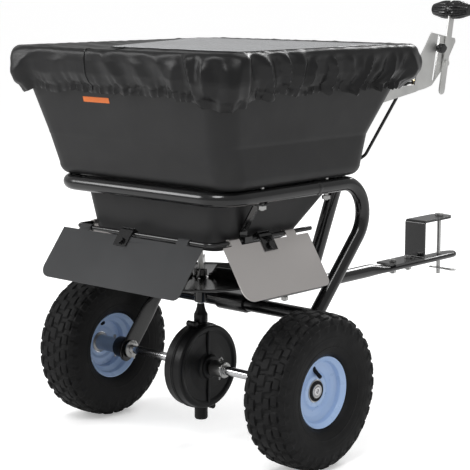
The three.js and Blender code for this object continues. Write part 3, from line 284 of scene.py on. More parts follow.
tub_wall = 3
outside = hopper_rows(0)
for reach, z in ((-0.5, 546), (2.2, 547), (3, 549), (3, 553), (2, 554.8), (0.5, 555)):
    outside.append(rounded_square(*(rim_size + reach), rim_corner, z))
inside = [rounded_square(*(rim_size - tub_wall), 44, 554.8)] + hopper_rows(tub_wall)[::-1]
moulded = finish("moulded_black", (0.0125, 0.0125, 0.013), 0.46, mottle=0.1, mottle_scale=5, grain=0.22,
                 grain_scale=900, depth=0.0002, scratches=0.5, dust=0.008, specular_ior_level=0.4)
hopper = skin("hopper_shell", millimetres(outside + inside), moulded, "frame")
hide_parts("hopper")

# ---- Frame tubes ----------------------------------------------------------------------------------
# One inch steel tube, bent cold and powder coated in gloss black: a hoop behind, two legs that curl
# under the tub's front and run down to the axle, a cross tube, and a brace standing on the tow bar.
gloss_coat = finish("gloss_powder_coat", (0.005, 0.005, 0.0053), 0.2, mottle=0.2, mottle_scale=12,
                    grain=0.12, grain_scale=260, depth=0.0002, scratches=0.25, coat_weight=0.35,
                    coat_roughness=0.08)
tube_radius = 12.7
hoop_half_width, hoop_level = 196, 326
both_sides = ((1, "right"), (-1, "left"))


def bent(corners, radius, steps=14):
    """The middle line of a tube through its corners, each turned into an arc of the bend radius."""
    corners = [np.array(corner, dtype=float) for corner in corners]
    path = [corners[0]]
    for before, corner, after in zip(corners, corners[1:], corners[2:]):
        back = (before - corner) / np.linalg.norm(before - corner)
        on = (after - corner) / np.linalg.norm(after - corner)
        half = math.acos(np.clip(back @ on, -1, 1)) / 2
        inward = (back + on) / np.linalg.norm(back + on)
        centre = corner + inward * radius / math.sin(half)
        start = corner + back * radius / math.tan(half) - centre
        end = corner + on * radius / math.tan(half) - centre
        sweep = math.pi - 2 * half
        for part in np.linspace(0, 1, steps + 1):
            mix = (start * math.sin((1 - part) * sweep) + end * math.sin(part * sweep)) / math.sin(sweep)
            path.append(centre + mix)
    path.append(corners[-1])
    return np.array(path)


def carried(path, side, half_wide, half_high=None, sides=28, square=0.0):
    """Sections carried along a path: ovals of the given half sizes, pushed towards a stadium by square,
    with their width kept along the side direction."""
    path = np.asarray(path, dtype=float)
    count = len(path)
    half_wide = np.broadcast_to(half_wide, count)[:, None]
    half_high = half_wide if half_high is None else np.broadcast_to(half_high, count)[:, None]
    along = np.gradient(path, axis=0)
    along /= np.linalg.norm(along, axis=1, keepdims=True)
    side = np.asarray(side, dtype=float)
    across = side - along * (along @ side)[:, None]
    across /= np.linalg.norm(across, axis=1, keepdims=True)
    up = np.cross(along, across)
    angle = 2 * math.pi * (np.arange(sides) + 0.5) / sides
    u, v = np.cos(angle)[None, :], np.sin(angle)[None, :]
    square = np.broadcast_to(square, count)[:, None]
    low = np.minimum(half_wide, half_high)
    stadium = low * u + np.sign(u) * np.maximum(half_wide - low, 0)
    wide = (half_wide * u) * (1 - square) + stadium * square
    high = half_high * v
    return path[:, None] + across[:, None] * wide[..., None] + up[:, None] * high[..., None]


def tube(name, path, side, radius, material, body, replaced=(), sides=28):
    """A round bar along a path in millimetres, standing in for the nodes it replaces."""
    piece = skin(name, millimetres(carried(path, side, radius, sides=sides)), material, body)
    if replaced:
        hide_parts(*replaced)
    return piece


def from_axle(box):
    """The two corners of a box in metres, as millimetres from the middle of the axle."""
    return [(np.array(corner) - axle_middle) * 1000 for corner in box]


def ease(value):
    """Rises smoothly from 0 to 1 while the value does."""
    value = np.clip(value, 0, 1)
    return value * value * (3 - 2 * value)


hoop_path = bent([(x, y, hoop_level) for x, y in ((-hoop_half_width, 76), (-hoop_half_width, -151),
                                                  (hoop_half_width, -151), (hoop_half_width, 76))], 48, 20)
tube("rear_hoop_tube", hoop_path, (0, 0, 1), tube_radius, gloss_coat, "frame", ["rear_hoop"])
leg_corner = np.array([hoop_half_width, 279.5, hoop_level])
leg_foot = np.array([184.0, 0, 0])
leg_up = leg_corner - leg_foot
leg_up /= np.linalg.norm(leg_up)
# the leg is round down to this distance from the axle, then pressed flat round it
round_end = 134
for hand, name in both_sides:
    path = bent([(hoop_half_width, 76.4, hoop_level), leg_corner, leg_foot + leg_up * round_end], 60, 22)
    distance = np.array([118, 104, 90, 78, 40, 0, -10, -17, -21.5, -24, -25])
    flat = ease((round_end - distance) / 56)
    shrink = np.array([1, 1, 1, 1, 1, 1, 0.93, 0.78, 0.58, 0.36, 0.1])
    path = np.concatenate([path, leg_foot + leg_up * distance[:, None]])
    round_part = len(path) - len(distance)
    high = np.concatenate([np.full(round_part, tube_radius), (tube_radius + 6.3 * flat) * shrink])
    wide = np.concatenate([np.full(round_part, tube_radius), tube_radius - 9.7 * flat])
    rows = carried(path, (1, 0, 0), wide, high)
    rows[..., 0] *= hand
    leg = skin("leg_tube_" + name, millimetres(rows), gloss_coat, "frame")
    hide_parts("leg_" + name)
    # the swaged ring where the hoop slides over the leg
    ring_path = np.array([(hoop_half_width * hand, y, hoop_level) for y in (71.5, 72, 73, 79, 80, 80.5)])
    ring = carried(ring_path, (0, 0, 1), np.array([12.8, 13.3, 13.6, 13.6, 13.3, 12.8]))
    skin("joint_ring_" + name, millimetres(ring), gloss_coat, "frame")

cross_low, cross_high = from_axle(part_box("cross_tube"))
cross_middle = (cross_low + cross_high) / 2
half_span = (cross_high[0] - cross_low[0]) / 2
cross_path = np.array([(x, *cross_middle[1:]) for x in np.linspace(-half_span, half_span, 5)])
tube("cross_tube_bar", cross_path, (0, 0, 1), 12.5, gloss_coat, "frame", ["cross_tube"])

# the tow bar: distances from its rear end, flattened from 384 mm on and rounded off at the tip
bar_low, bar_high = from_axle(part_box("tow_bar"))
bar_height = bar_high[2] - 12.3
places = np.array([0, 6, 382, 390, 400, 412, 424, 436, 442, 560, 660, 668, 675, 680, 683, 684])
flat = ease((places - 384) / 58)
shrink = np.array([1] * 10 + [1, 0.93, 0.8, 0.6, 0.38, 0.15])
bar_path = np.stack([places * 0, bar_low[1] + places, bar_height - 3 * flat], 1)
bar_rows = carried(bar_path, (1, 0, 0), (tube_radius + 5.3 * flat) * shrink, tube_radius - 7.2 * flat,
                   sides=36, square=flat)
tow_bar = skin("tow_bar_tube", millimetres(bar_rows), gloss_coat, "frame")
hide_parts("tow_bar")

brace_foot = from_axle(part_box("front_brace"))[0][2] + tube_radius
brace_path = bent([(-145, 226.3, 386), (-58, 228, brace_foot), (58, 228, brace_foot), (145, 226.3, 386)],
                  46, 18)
tube("front_brace_tube", brace_path, (0, 1, 0), tube_radius, gloss_coat, "frame", ["front_brace"])

# ---- Brackets and bolts ---------------------------------------------------------------------------
# Pressed and folded straps and clips in the same coat, and zinc-plated bolts and pins with a faintly
# streaked bright skin. Every cut edge has its small break.
zinc = finish("zinc_plate", (0.55, 0.55, 0.54), 0.3, metallic=1.0, mottle=0.1, mottle_scale=30,
              grain=0.2, grain_scale=700, stretch=(1, 1, 0.2), scratches=0.3)
satin_grey = finish("satin_dark_steel", (0.052, 0.053, 0.055), 0.36, metallic=0.55, mottle=0.1,
                    mottle_scale=7, grain=0.2, stretch=(1, 0.15, 1), scratches=0.35)


def dress(node, material, edge=0.0004, segments=2):
    """Gives a carried-over solid its finish and breaks its edges."""
    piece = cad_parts[node]
    piece.data.materials.clear()
    piece.data.materials.append(material)
    weld = piece.modifiers.new("weld", "WELD")
    weld.merge_threshold = 0.00001
    if edge:
        bevel = piece.modifiers.new("edges", "BEVEL")
        bevel.width, bevel.segments = edge, segments
        bevel.limit_method, bevel.angle_limit = "ANGLE", math.radians(40)
    return piece


for node in ("saddle_strap", "hitch_bracket", "hanger_left", "hanger_right", "deflector_clip_left",
             "deflector_clip_right", "deflector_clip_rear"):
    dress(node, gloss_coat, 0.0007)
for node in ("hopper_bolt_rear_left", "hopper_bolt_rear_right", "hopper_bolt_front_left",
             "hopper_bolt_front_right", "saddle_bolt", "brace_bolt", "brace_top_bolt_left",
             "brace_top_bolt_right", "hitch_bolt_rear", "hitch_bolt_front", "bracket_bolt",
             "hitch_pin", "wheel_pin", "impeller_shaft", "agitator", "gate"):
    dress(node, zinc, 0.0003)

# ---- Hinge rod and deflector plates ---------------------------------------------------------------
# A bent 8 mm rod hangs under the hoop. On it hang a dark steel plate behind and a brushed stainless
# plate on each side, each curled over the rod at two tabs and held by a sprung clip.
rod_path = bent([(-161, 105, 250), (-161, -144, 250), (161, -144, 250), (161, 105, 250)], 16, 10)
tube("deflector_hinge_rod", rod_path, (0, 0, 1), 4, gloss_coat, "frame", ["deflector_rod"],
     sides=20)
brushed = finish("brushed_stainless", (0.8, 0.765, 0.745), 0.34, metallic=1.0, mottle=0.05,
                 mottle_scale=3, grain=0.35, grain_scale=260, stretch=(1, 0.05, 1), depth=0.00025)
dress("deflector_right", brushed)
dress("deflector_left", brushed)
dress("deflector_rear", satin_grey)

# ---- Wheels ---------------------------------------------------------------------------------------
# Pneumatic tyres with staggered tread blocks and shoulder lugs, on rims pressed from sheet steel and
# enamelled pale blue. The left wheel is pinned to the axle, the right one turns on it.
rubber = finish("tyre_rubber", (0.0055, 0.0055, 0.0058), 0.6, mottle=0.2, mottle_scale=14, grain=0.35,
                grain_scale=420, depth=0.0004, dust=0.008, specular_ior_level=0.25)
enamel = finish("pale_blue_enamel", (0.37, 0.51, 0.76), 0.28, mottle=0.05, mottle_scale=10, grain=0.12,
                grain_scale=160, scratches=0.15, coat_weight=0.4, coat_roughness=0.1)


def turned(profile, centre, hand=1, sides=96, axis="x"):
    """Rows of points for a profile of radius and distance, turned about a level or upright axis."""
    profile = np.asarray(profile, dtype=float)
    angle = 2 * math.pi * np.arange(sides) / sides
    radius, along = profile[:, :1], profile[:, 1:2]
    a, b = radius * np.cos(angle), radius * np.sin(angle)
    along = np.broadcast_to(along, a.shape) * hand
    rows = np.stack([along, a, b], -1) if axis == "x" else np.stack([a, b, along], -1)
    return rows + np.asarray(centre, dtype=float)


def lathe(name, profile, centre, hand, sides, material, body, axis="x", closed=True):
    """A turned piece. A closed profile leaves a bore, an open one ends in flat caps."""
    return skin(name, millimetres(turned(profile, centre, hand, sides, axis)), material, body,
                over=closed)


def softened(profile, corner=0.8, parts=3):
    """A closed or open profile with each corner replaced by a short curve."""
    points = np.asarray(profile, dtype=float)
    result = [points[0]]
    for before, point, after in zip(points, points[1:], points[2:]):
        back, on = before - point, after - point
        reach = min(corner, np.linalg.norm(back) / 2.2, np.linalg.norm(on) / 2.2)
        start = point + back / np.linalg.norm(back) * reach
        end = point + on / np.linalg.norm(on) * reach
        for part in np.linspace(0, 1, parts + 1):
            result.append((1 - part) ** 2 * start + 2 * part * (1 - part) * point + part ** 2 * end)
    result.append(points[-1])
    return np.array(result)


def tyre_rows(centre, hand):
    """The tyre's skin on a fine grid. Height is added to the carcass where a block stands."""
    knots = np.array([(61.6, -28), (66, -34.5), (74, -39), (88, -42.4), (103, -42.8), (115, -40.6),
                      (123, -36), (127.4, -29), (128.6, -15), (129, 0), (128.6, 15), (127.4, 29),
                      (123, 36), (115, 40.6), (103, 42.8), (88, 42.4), (74, 39), (66, 34.5), (61.6, 28)])
    length = np.concatenate([[0], np.cumsum(np.linalg.norm(np.diff(knots, axis=0), axis=1))])
    even = np.linspace(0, length[-1], 150)
    radius = np.interp(even, length, knots[:, 0])
    across = np.interp(even, length, knots[:, 1])
    for _ in range(3):
        radius[1:-1] = (radius[:-2] + 2 * radius[1:-1] + radius[2:]) / 4
        across[1:-1] = (across[:-2] + 2 * across[1:-1] + across[2:]) / 4
    sides, blocks_round = 480, 30
    block_height, block_side_height = 3.4, 2.6
    half_width_limit, radius_limit = 43, 132.4
    angle = np.arange(sides) / sides
    surface = np.abs(even - length[-1] / 2)[:, None]
    hand_of = np.sign(even - length[-1] / 2)[:, None]

    def bars(shift, fill, sharp=9.0):
        """Blocks round the tyre, which fill this share of their pitch."""
        phase = (angle[None, :] * blocks_round + shift) % 1.0
        return ease((fill / 2 - np.abs(phase - 0.5)) * sharp + 0.5)

    def band(low, high, soft=1.4):
        """One strip of the skin between two distances from the tread's middle line."""
        return ease((surface - low) / soft + 0.5) * ease((high - surface) / soft + 0.5)

    skew = surface * 0.006
    height = np.zeros((len(even), sides))
    for part in (band(-5, 7.5) * bars(skew * hand_of, 0.72),
                 band(10, 21) * bars(0.5 + 0.12 * hand_of + skew, 0.66),
                 band(23.5, 34) * bars(0.12 * hand_of - skew, 0.62),
                 band(36, 47) * bars(0.5 + 0.12 * hand_of, 0.58) * 0.8,
                 band(46, 56) * bars(0.5 + 0.12 * hand_of, 0.3) * 0.35,
                 band(66, 67.4, 0.8) * 0.22,
                 band(83, 84.6, 0.8) * 0.25):
        height = np.maximum(height, part)
    slope_r, slope_x = np.gradient(radius), np.gradient(across)
    size = np.hypot(slope_r, slope_x)
    normal_r, normal_x = slope_x / size, -slope_r / size
    r = np.minimum(radius[:, None] + normal_r[:, None] * height * block_height, radius_limit)
    x = np.clip(across[:, None] + normal_x[:, None] * height * block_side_height,
                -half_width_limit, half_width_limit)
    theta = 2 * math.pi * angle[None, :]
    outer = np.stack([x * hand, r * np.cos(theta), r * np.sin(theta)], -1)
    inner_profile = np.array([(61.6, 21), (77, 31), (111, 34), (121, 20),
                              (121, -20), (111, -34), (77, -31), (61.6, -21)])
    ri, xi = inner_profile[:, :1], inner_profile[:, 1:2] * np.ones((1, sides))
    inner = np.stack([xi * hand, ri * np.cos(theta), ri * np.sin(theta)], -1)
    return np.concatenate([outer, inner]) + np.asarray(centre, dtype=float)


rim_profile = softened([
    (60.4, -28.4), (61.0, -27.2), (61.0, -25.6), (59, -23.6), (56, -21.4), (54.5, -19), (54.5, -11),
    (45.5, -6), (45.5, 6), (54.5, 12), (54.5, 20), (56.6, 22.4), (59.6, 24.2), (61.0, 25.6),
    (61.0, 27.2), (60.4, 28.4), (59, 28.4), (57.8, 26.8), (56, 24.6), (52.6, 21.8), (52.5, 13),
    (49, 10.4), (43.5, 8), (33, 8), (30, 9.4),
    (27, 12), (19.4, 12), (19.4, 9.7), (26, 9.6), (29, 7), (32, 5.6), (43.5, 5.6), (43.5, -6.8),
    (52.5, -12), (52.5, -21.4), (55.4, -24.2), (57.6, -26.6), (59, -28.4), (60.4, -28.4)], 1.4, 3)[:-1]
hub_profile = softened([(8.2, -41), (14, -41), (14, 9), (19, 9.4), (19, 12.4), (11.8, 12.4), (11.8, 15.2),
                        (8.2, 15.2), (8.2, -41)], 0.7, 2)[:-1]
seal_profile = softened([(12.2, 12.6), (17.4, 12.6), (17.4, 13.4), (12.2, 13.4), (12.2, 12.6)], 0.3, 2)[:-1]
half_track = 250
for hand, name, body in ((1, "right", "free_wheel"), (-1, "left", "drive_axle")):
    centre = (half_track * hand, 0, 0)
    tyre = skin("tyre_carcass_" + name, millimetres(tyre_rows(centre, hand)), rubber, body,
                over=True)
    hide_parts("tyre_" + name)
    rim = lathe("rim_pressing_" + name, rim_profile, centre, hand, 96, enamel, body)
    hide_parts("rim_" + name)
    hub = lathe("hub_turning_" + name, hub_profile, centre, hand, 64, zinc, body)
    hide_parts("hub_" + name)
    low, high = from_axle(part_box("valve_" + name))
    middle = (low + high) / 2
    base_x, tip_x = (low[0] + 1, high[0] - 1) if hand > 0 else (high[0] - 1, low[0] + 1)
    spots = np.array([0, 0.04, 0.12, 0.2, 0.25, 0.55, 0.6, 0.66, 0.94, 1.0])
    stem_path = np.stack([base_x + (tip_x - base_x) * spots, middle[1] * (1 - 0.12 * spots),
                          middle[2] + 1 - 15 * spots * np.sign(middle[2])], 1)
    stem_size = np.array([4.8, 4.9, 4.6, 4.2, 3.6, 3.3, 2.9, 3.4, 3.4, 2.6])
    valve = skin("valve_stem_" + name, millimetres(carried(stem_path, (0, 1, 0), stem_size, sides=20)),
                 rubber, body)
    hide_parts("valve_" + name)
    lathe("hub_seal_" + name, seal_profile, centre, hand, 64, rubber, body)

# ---- Axle -----------------------------------------------------------------------------------------
# A ground 16 mm bar runs through both legs in black flanged bushes. A plain washer lies inside each
# leg, and a collar with a split pin keeps the bar from shifting in the gearbox.
bright_bar = finish("ground_bar", (0.74, 0.74, 0.75), 0.13, metallic=1.0, mottle=0.04, mottle_scale=20,
                    grain=0.08, grain_scale=900, stretch=(1, 0.1, 0.1), scratches=0.2)
black_plastic = finish("black_nylon", (0.0045, 0.0045, 0.005), 0.36, mottle_scale=16,
                       grain=0.18, grain_scale=650, scratches=0.15, dust=0.004, specular_ior_level=0.3)
on_axle = (0, 0, 0)
bar_profile = softened([(0.4, -262.5), (3.4, -262.8), (3.8, -265.8), (7.4, -265.8), (8, -265),
                        (8, 265), (7.4, 265.8), (3.8, 265.8), (3.4, 262.8), (0.4, 262.5)], 0.4, 2)
axle = lathe("axle_bar", bar_profile, on_axle, 1, 48, bright_bar, "drive_axle", closed=False)
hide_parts("axle")
bush_profile = softened([(8.4, 177.6), (11, 177.6), (11, 187.7), (19, 187.7), (19, 207.6), (15, 208.3),
                         (8.4, 208.3), (8.4, 177.6)], 0.8, 2)[:-1]
washer_profile = softened([(8.5, 174.6), (16, 174.6), (16, 176.6), (8.5, 176.6), (8.5, 174.6)], 0.4, 2)[:-1]
for hand, name in both_sides:
    bush = lathe("axle_bush_flanged_" + name, bush_profile, on_axle, hand, 56, black_plastic, "frame")
    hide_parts("axle_bush_" + name)
    lathe("leg_washer_" + name, washer_profile, on_axle, hand, 56, zinc, "frame")
start, end = (corner[0] for corner in from_axle(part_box("axle_collar")))
collar_profile = softened([(8.3, start), (13, start), (14, start + 1.2), (14, end - 1.2), (13, end),
                           (8.3, end), (8.3, start)], 0.6, 2)[:-1]
collar = lathe("gearbox_side_collar", collar_profile, on_axle, 1, 56, zinc, "drive_axle")
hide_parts("axle_collar")


def wire(name, corners, radius, bend, side, material, body):
    """A thin round wire through its corners, with each bend rounded."""
    return skin(name, millimetres(carried(bent(corners, bend, 8), side, radius, sides=12)), material,
                body)


middle_x = (start + end) / 2
wire("collar_split_pin", [(middle_x, 0, -19), (middle_x, 0, 18.5), (middle_x, 4, 20), (middle_x, 8, 15)],
     1.5, 2, (1, 0, 0), zinc, "drive_axle")
wire("leg_split_pin", [(-170, 0, -17), (-170, 0, 13), (-170, 4, 15), (-170, 6, 10)], 1.5, 1.5, (1, 0, 0),
     zinc, "drive_axle")

# ---- Gearbox --------------------------------------------------------------------------------------
# Two round moulded halves clamped on the axle, each with a raised edge, a shallow dish, a hub boss
# and two ribs. A tapered neck above carries the upright shaft, and a plain boss closes the bottom.
half_profile = softened([
    (8.6, 0.2), (76.4, 0.2), (76.4, 2.6), (74.8, 3.4), (74.4, 16.8), (73, 19.4), (70.5, 20.5), (66, 20.5),
    (63.4, 19.4), (61.2, 17.4), (44, 16.6), (26, 17.4), (22.6, 19), (20.6, 22), (20.1, 25.6), (18.6, 26.6),
    (9.2, 26.6), (8.6, 26), (8.6, 0.2)], 1.0, 3)[:-1]
for hand, name in both_sides:
    shell = lathe("gearbox_half_" + name, half_profile, on_axle, hand, 112, black_plastic, "frame")
    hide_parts("gearbox_" + name)


def slab(name, low, high, material, body, round_edge=1.2):
    """A small upright block with rounded edges, between two opposite corners in millimetres."""
    low, high = np.array(low, dtype=float), np.array(high, dtype=float)
    size, middle = (high - low) / 2, (high + low) / 2
    corner = min(round_edge, size[0], size[1]) * 0.95
    levels = [(-size[2], round_edge), (-size[2] + 0.3 * round_edge, round_edge * 0.3),
              (-size[2] + round_edge, 0)]
    levels += [(-z, inset) for z, inset in levels[::-1]]
    grid = [rounded_square(size[0] - inset, size[1] - inset, size[1] - inset, corner, z, 4, 1) + middle
            for z, inset in levels]
    return skin(name, millimetres(grid), material, body)


for hand, side_name in both_sides:
    inner, outer = sorted((15.5 * hand, 20.2 * hand))
    for part, low, high in (("upper_", 18, 66), ("lower_", -66, -18)):
        slab("gearbox_rib_" + part + side_name, (inner, -2.6, low), (outer, 2.6, high), black_plastic,
             "frame")
neck_profile = softened([(5.4, 111), (6.5, 111), (7.2, 105), (9.2, 98), (12, 92.6), (12.3, 90), (12.3, 79),
                         (11, 77), (11, 66), (4, 66)], 0.9, 3)
lathe("gearbox_neck", neck_profile, on_axle, 1, 48, black_plastic, "frame", "z",
      closed=False)
foot_profile = softened([(4, -66), (11.4, -66), (11.8, -74), (11.8, -95), (10.4, -97.8), (3, -97.8)],
                        1.2, 3)
lathe("gearbox_foot", foot_profile, on_axle, 1, 48, black_plastic, "frame", "z",
      closed=False)
ear_profile = softened([(0.5, -10.5), (4.6, -10.5), (5.4, -9.7), (5.4, 9.7), (4.6, 10.5), (0.5, 10.5)],
                       0.8, 2)
for place, name in (((0, -22, 77.5), "rear"), ((0, 22, -77.5), "front")):
    lathe("gearbox_ear_" + name, ear_profile, place, 1, 36, black_plastic, "frame",
          closed=False)
dress("crown_gear", black_plastic, 0)
dress("gate_guide", black_plastic, 0.0005)

# ---- Spreading disc -------------------------------------------------------------------------------
# A glossy black moulded disc on a long sleeve, with six upright fins that run from near the hub
# almost to the edge.
disc_black = finish("glossy_disc_black", (0.007, 0.007, 0.0075), 0.16, mottle=0.15,
                    grain=0.1, grain_scale=300, scratches=0.35, dust=0.04, coat_weight=0.3)
disc_profile = softened([(5.1, 114), (10, 114), (11, 115), (11, 153), (14, 156), (127, 156),
                         (130, 157.2), (130, 160.5), (128.4, 161.5), (127, 160), (124, 159), (15, 159),
                         (11.4, 162), (11, 173), (10, 174), (5.1, 174), (5.1, 114)], 0.9, 3)[:-1]
disc = lathe("spreading_disc", disc_profile, on_axle, 1, 144, disc_black, "spinner", "z")
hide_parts("impeller")
reach = np.linspace(17, 124, 40)
fin_foot = 158
top = 164 + 14.8 * ease((reach - 20) / 16) - 3.5 * ease((reach - 112) / 12)
section = np.array([(-1.9, 0), (-1.5, 0.94), (-1.0, 1), (1.0, 1), (1.5, 0.94), (1.9, 0)])
outward, sideways = np.broadcast_arrays(reach[:, None], section[None, :, 0])
fin_height = fin_foot + (top[:, None] - fin_foot) * section[None, :, 1]
for index in range(6):
    angle = math.radians(10 + 60 * index)
    fin = np.dstack([outward * math.cos(angle) - sideways * math.sin(angle),
                     outward * math.sin(angle) + sideways * math.cos(angle), fin_height])
    skin("disc_fin_%d" % (index + 1), millimetres(fin), disc_black, "spinner")

# ---- Control lever --------------------------------------------------------------------------------
# A stamped zinc-plated bracket reaches out from the tub's front wall. The lever swings on it and ends
# in a fluted black grip, a winged knob in its slot stops it, and a sheathed cable runs to the shutter.
plate_zinc = finish("bracket_zinc", (0.7, 0.7, 0.685), 0.42, metallic=0.8, mottle_scale=22,
                    grain=0.25, stretch=(1, 1, 0.3), scratches=0.5)
dress("control_bracket", plate_zinc, 0.0004)
dress("lever", plate_zinc, 0.0005)
grip_black = finish("grip_black", (0.0075, 0.0075, 0.008), 0.22, mottle=0.1, mottle_scale=30,
                    coat_weight=0.3)
dress("stop_knob", grip_black, 0.0008, 3)
_, knob_y, knob_z = sum(from_axle(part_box("stop_knob"))) / 2
knob_face = 212.4
knob_profile = softened([(0.5, knob_face), (7.8, knob_face), (8.8, knob_face + 1.2), (8.8, knob_face + 8.2),
                         (7.4, knob_face + 9.6), (0.5, knob_face + 9.6)], 0.8, 3)
lathe("knob_head", knob_profile, (0, knob_y, knob_z), 1, 48, grip_black, "opening_stop",
      closed=False)
slab("knob_wings", (knob_face + 1.4, knob_y - 13.5, knob_z - 4),
     (knob_face + 7.6, knob_y + 13.5, knob_z + 4), grip_black, "opening_stop", 2.2)
grip_middle = sum(from_axle(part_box("grip"))) / 2
grip_profile = softened([(1, -40), (8.6, -40), (10.6, -38.4), (11.2, -36), (15.8, -20), (16.9, -12),
                         (16.9, -3.4), (15.4, -2.6), (15.4, 2.6), (16.9, 3.4), (16.9, 12), (15.8, 20),
                         (11.2, 36), (10.6, 38.4), (8.6, 40), (1, 40)], 1.2, 4)
steps = np.concatenate([np.linspace(here, there, 4)[:-1]
                        for here, there in zip(grip_profile, grip_profile[1:])])
grip_sides, flutes = 120, 14
grip_rows = turned(steps, on_axle, 1, grip_sides)
around = 2 * math.pi * np.arange(grip_sides) / grip_sides
flute = (0.5 - 0.5 * np.cos(flutes * around)) ** 4
fluted = ease((36 - np.abs(steps[:, 1])) / 5) * ease((np.abs(steps[:, 1]) - 4) / 3)
shrink = 1 - 0.085 * fluted[:, None] * flute[None, :]
grip_rows[..., 1] *= shrink
grip_rows[..., 2] *= shrink
grip = skin("lever_grip", millimetres(grip_rows + grip_middle), grip_black, "control_lever")
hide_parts("grip")

rubber_sheath = finish("cable_sheath", (0.009, 0.009, 0.009), 0.4, mottle=0.1, grain=0.1, grain_scale=400)
cable_end, cable_turn = (200, 362, 491), (200, 319, 490)
cable_path = bent([cable_end, cable_turn, (140, 286, 360), (60, 262, 300), (0, 176, 218.7),
                   (0, 138, 218.7)], 18, 10)
tube("control_cable", cable_path, (0.2, 0.1, 1), 2.9, rubber_sheath, "frame", ["cable"],
     sides=16)
brass = finish("brass", (0.56, 0.4, 0.17), 0.28, metallic=1.0, mottle=0.1, mottle_scale=40, grain=0.1)
ferrule_line = np.array([cable_end, cable_turn], dtype=float)
ferrule_way = (ferrule_line[1] - ferrule_line[0]) / np.linalg.norm(ferrule_line[1] - ferrule_line[0])
ferrule_spots = np.array([4, 4.2, 9, 9.4, 12.6, 13, 20, 20.4])
ferrule = carried(ferrule_line[0] + ferrule_way * ferrule_spots[:, None], (1, 0, 0),
                  np.array([3.2, 4.3, 4.3, 5, 5, 4.3, 4.3, 3.2]), sides=24)
skin("cable_end_fitting", millimetres(ferrule), brass, "frame")

# ---- Hairpin clip ---------------------------------------------------------------------------------
# Spring wire: one straight leg through the pin's hole, a loop, and a waved leg that grips the pin.
clip_z = sum(from_axle(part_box("hitch_clip")))[2] / 2
pin_y = sum(from_axle(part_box("hitch_pin")))[1] / 2
clip_points = [(-21, 0), (32, 0), (39, 5), (46, -3.2), (39, -11.4), (9, -6.6), (0, -8.1), (-9, -6.6),
               (-17, -9.4)]
clip = wire("hairpin_clip", [(x, pin_y + y, clip_z) for x, y in clip_points], 1.4, 2.5, (0, 0, 1), zinc,
            "pin_clip")
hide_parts("hitch_clip")

# ---- Cover ----------------------------------------------------------------------------------------
# Coated black cloth pulled over the tub's rim and gathered under it by an elastic hem. A clear vinyl
# sheet, bound with tape, is sewn into its top so that the level inside can be seen.
cloth = finish("coated_cloth", (0.0062, 0.0062, 0.0066), 0.34, mottle_scale=7, grain=0.25, grain_scale=300,
               dust=0.004, specular_ior_level=0.4, sheen_weight=0.06, sheen_roughness=0.35)
tree = cloth.node_tree
make, link = tree.nodes.new, tree.links.new
weave_place = make("ShaderNodeTexCoord")
weave_sum = make("ShaderNodeMath")
weave_sum.operation = "ADD"
for index, direction in enumerate(("X", "DIAGONAL")):
    thread = make("ShaderNodeTexWave")
    thread.bands_direction = direction
    thread.inputs["Scale"].default_value = 240
    thread.inputs["Distortion"].default_value = 0.4
    link(weave_place.outputs["Object"], thread.inputs["Vector"])
    link(thread.outputs["Fac"], weave_sum.inputs[index])
weave_bump = make("ShaderNodeBump")
weave_bump.inputs["Strength"].default_value, weave_bump.inputs["Distance"].default_value = 0.25, 0.0002
first_bump = next(node for node in tree.nodes if node.type == "BUMP" and node is not weave_bump)
link(weave_sum.outputs["Value"], weave_bump.inputs["Height"])
link(first_bump.outputs["Normal"], weave_bump.inputs["Normal"])
link(weave_bump.outputs["Normal"], tree.nodes["Principled BSDF"].inputs["Normal"])

chance = np.random.default_rng(11)
# the rim seen from above, the distance run along it, and the line on the tub's wall that the hem hugs
outline = rounded_square(*rim_size, rim_corner, 0, 44, 118)[:, :2]
edge = np.linalg.norm(np.roll(outline, -1, axis=0) - outline, axis=1)
run = np.concatenate([[0], np.cumsum(edge)[:-1]])
whole = edge.sum()
hug = rounded_square(235.4, 199, 265.6, 44, 0, 44, 118)[:, :2]


def ripple(wavelengths, spread, slant, height):
    """Smooth folds round the skirt: waves of whole numbers round the rim, each leaning its own way."""
    total = np.zeros((len(height), len(run)))
    for wavelength in wavelengths:
        count = round(whole / wavelength)
        for _ in range(2):
            total += (chance.uniform(0.5, 1) * np.sin(
                2 * math.pi * (count + chance.integers(-4, 5)) * run[None, :] / whole
                + slant * chance.uniform(-1, 1) * height[:, None] + chance.uniform(0, 6.3)))
    return total * spread / len(wavelengths)


def near(x, y, width):
    """How close each point of the rim is to a place on it, from 0 far off to 1 there."""
    gap = np.hypot(outline[:, 0] - x, outline[:, 1] - y)
    return np.exp(-(gap / width) ** 2)


# level runs from 0 at the hem to 1 at the rim; out says how far the skirt stands from wall to outline
level = np.concatenate([np.linspace(0, 0.16, 7), np.linspace(0.19, 1, 34)])
out = np.interp(level, [0, 0.04, 0.16, 0.24, 0.42, 0.7, 0.86, 0.94, 1],
                [0.1, 0.16, 0.2, 0.5, 0.86, 1.0, 0.99, 0.94, 0.86])
height = np.interp(level, [0, 0.16, 0.3, 0.86, 0.94, 1], [490, 502, 512, 553, 558.8, 560.8])
skirt = hug[None] + (outline[None] - hug[None]) * out[:, None, None]
normal = np.stack([np.gradient(outline[:, 1]), -np.gradient(outline[:, 0])], 1)
normal /= np.linalg.norm(normal, axis=1, keepdims=True)
if (normal * outline).sum() < 0:
    normal = -normal


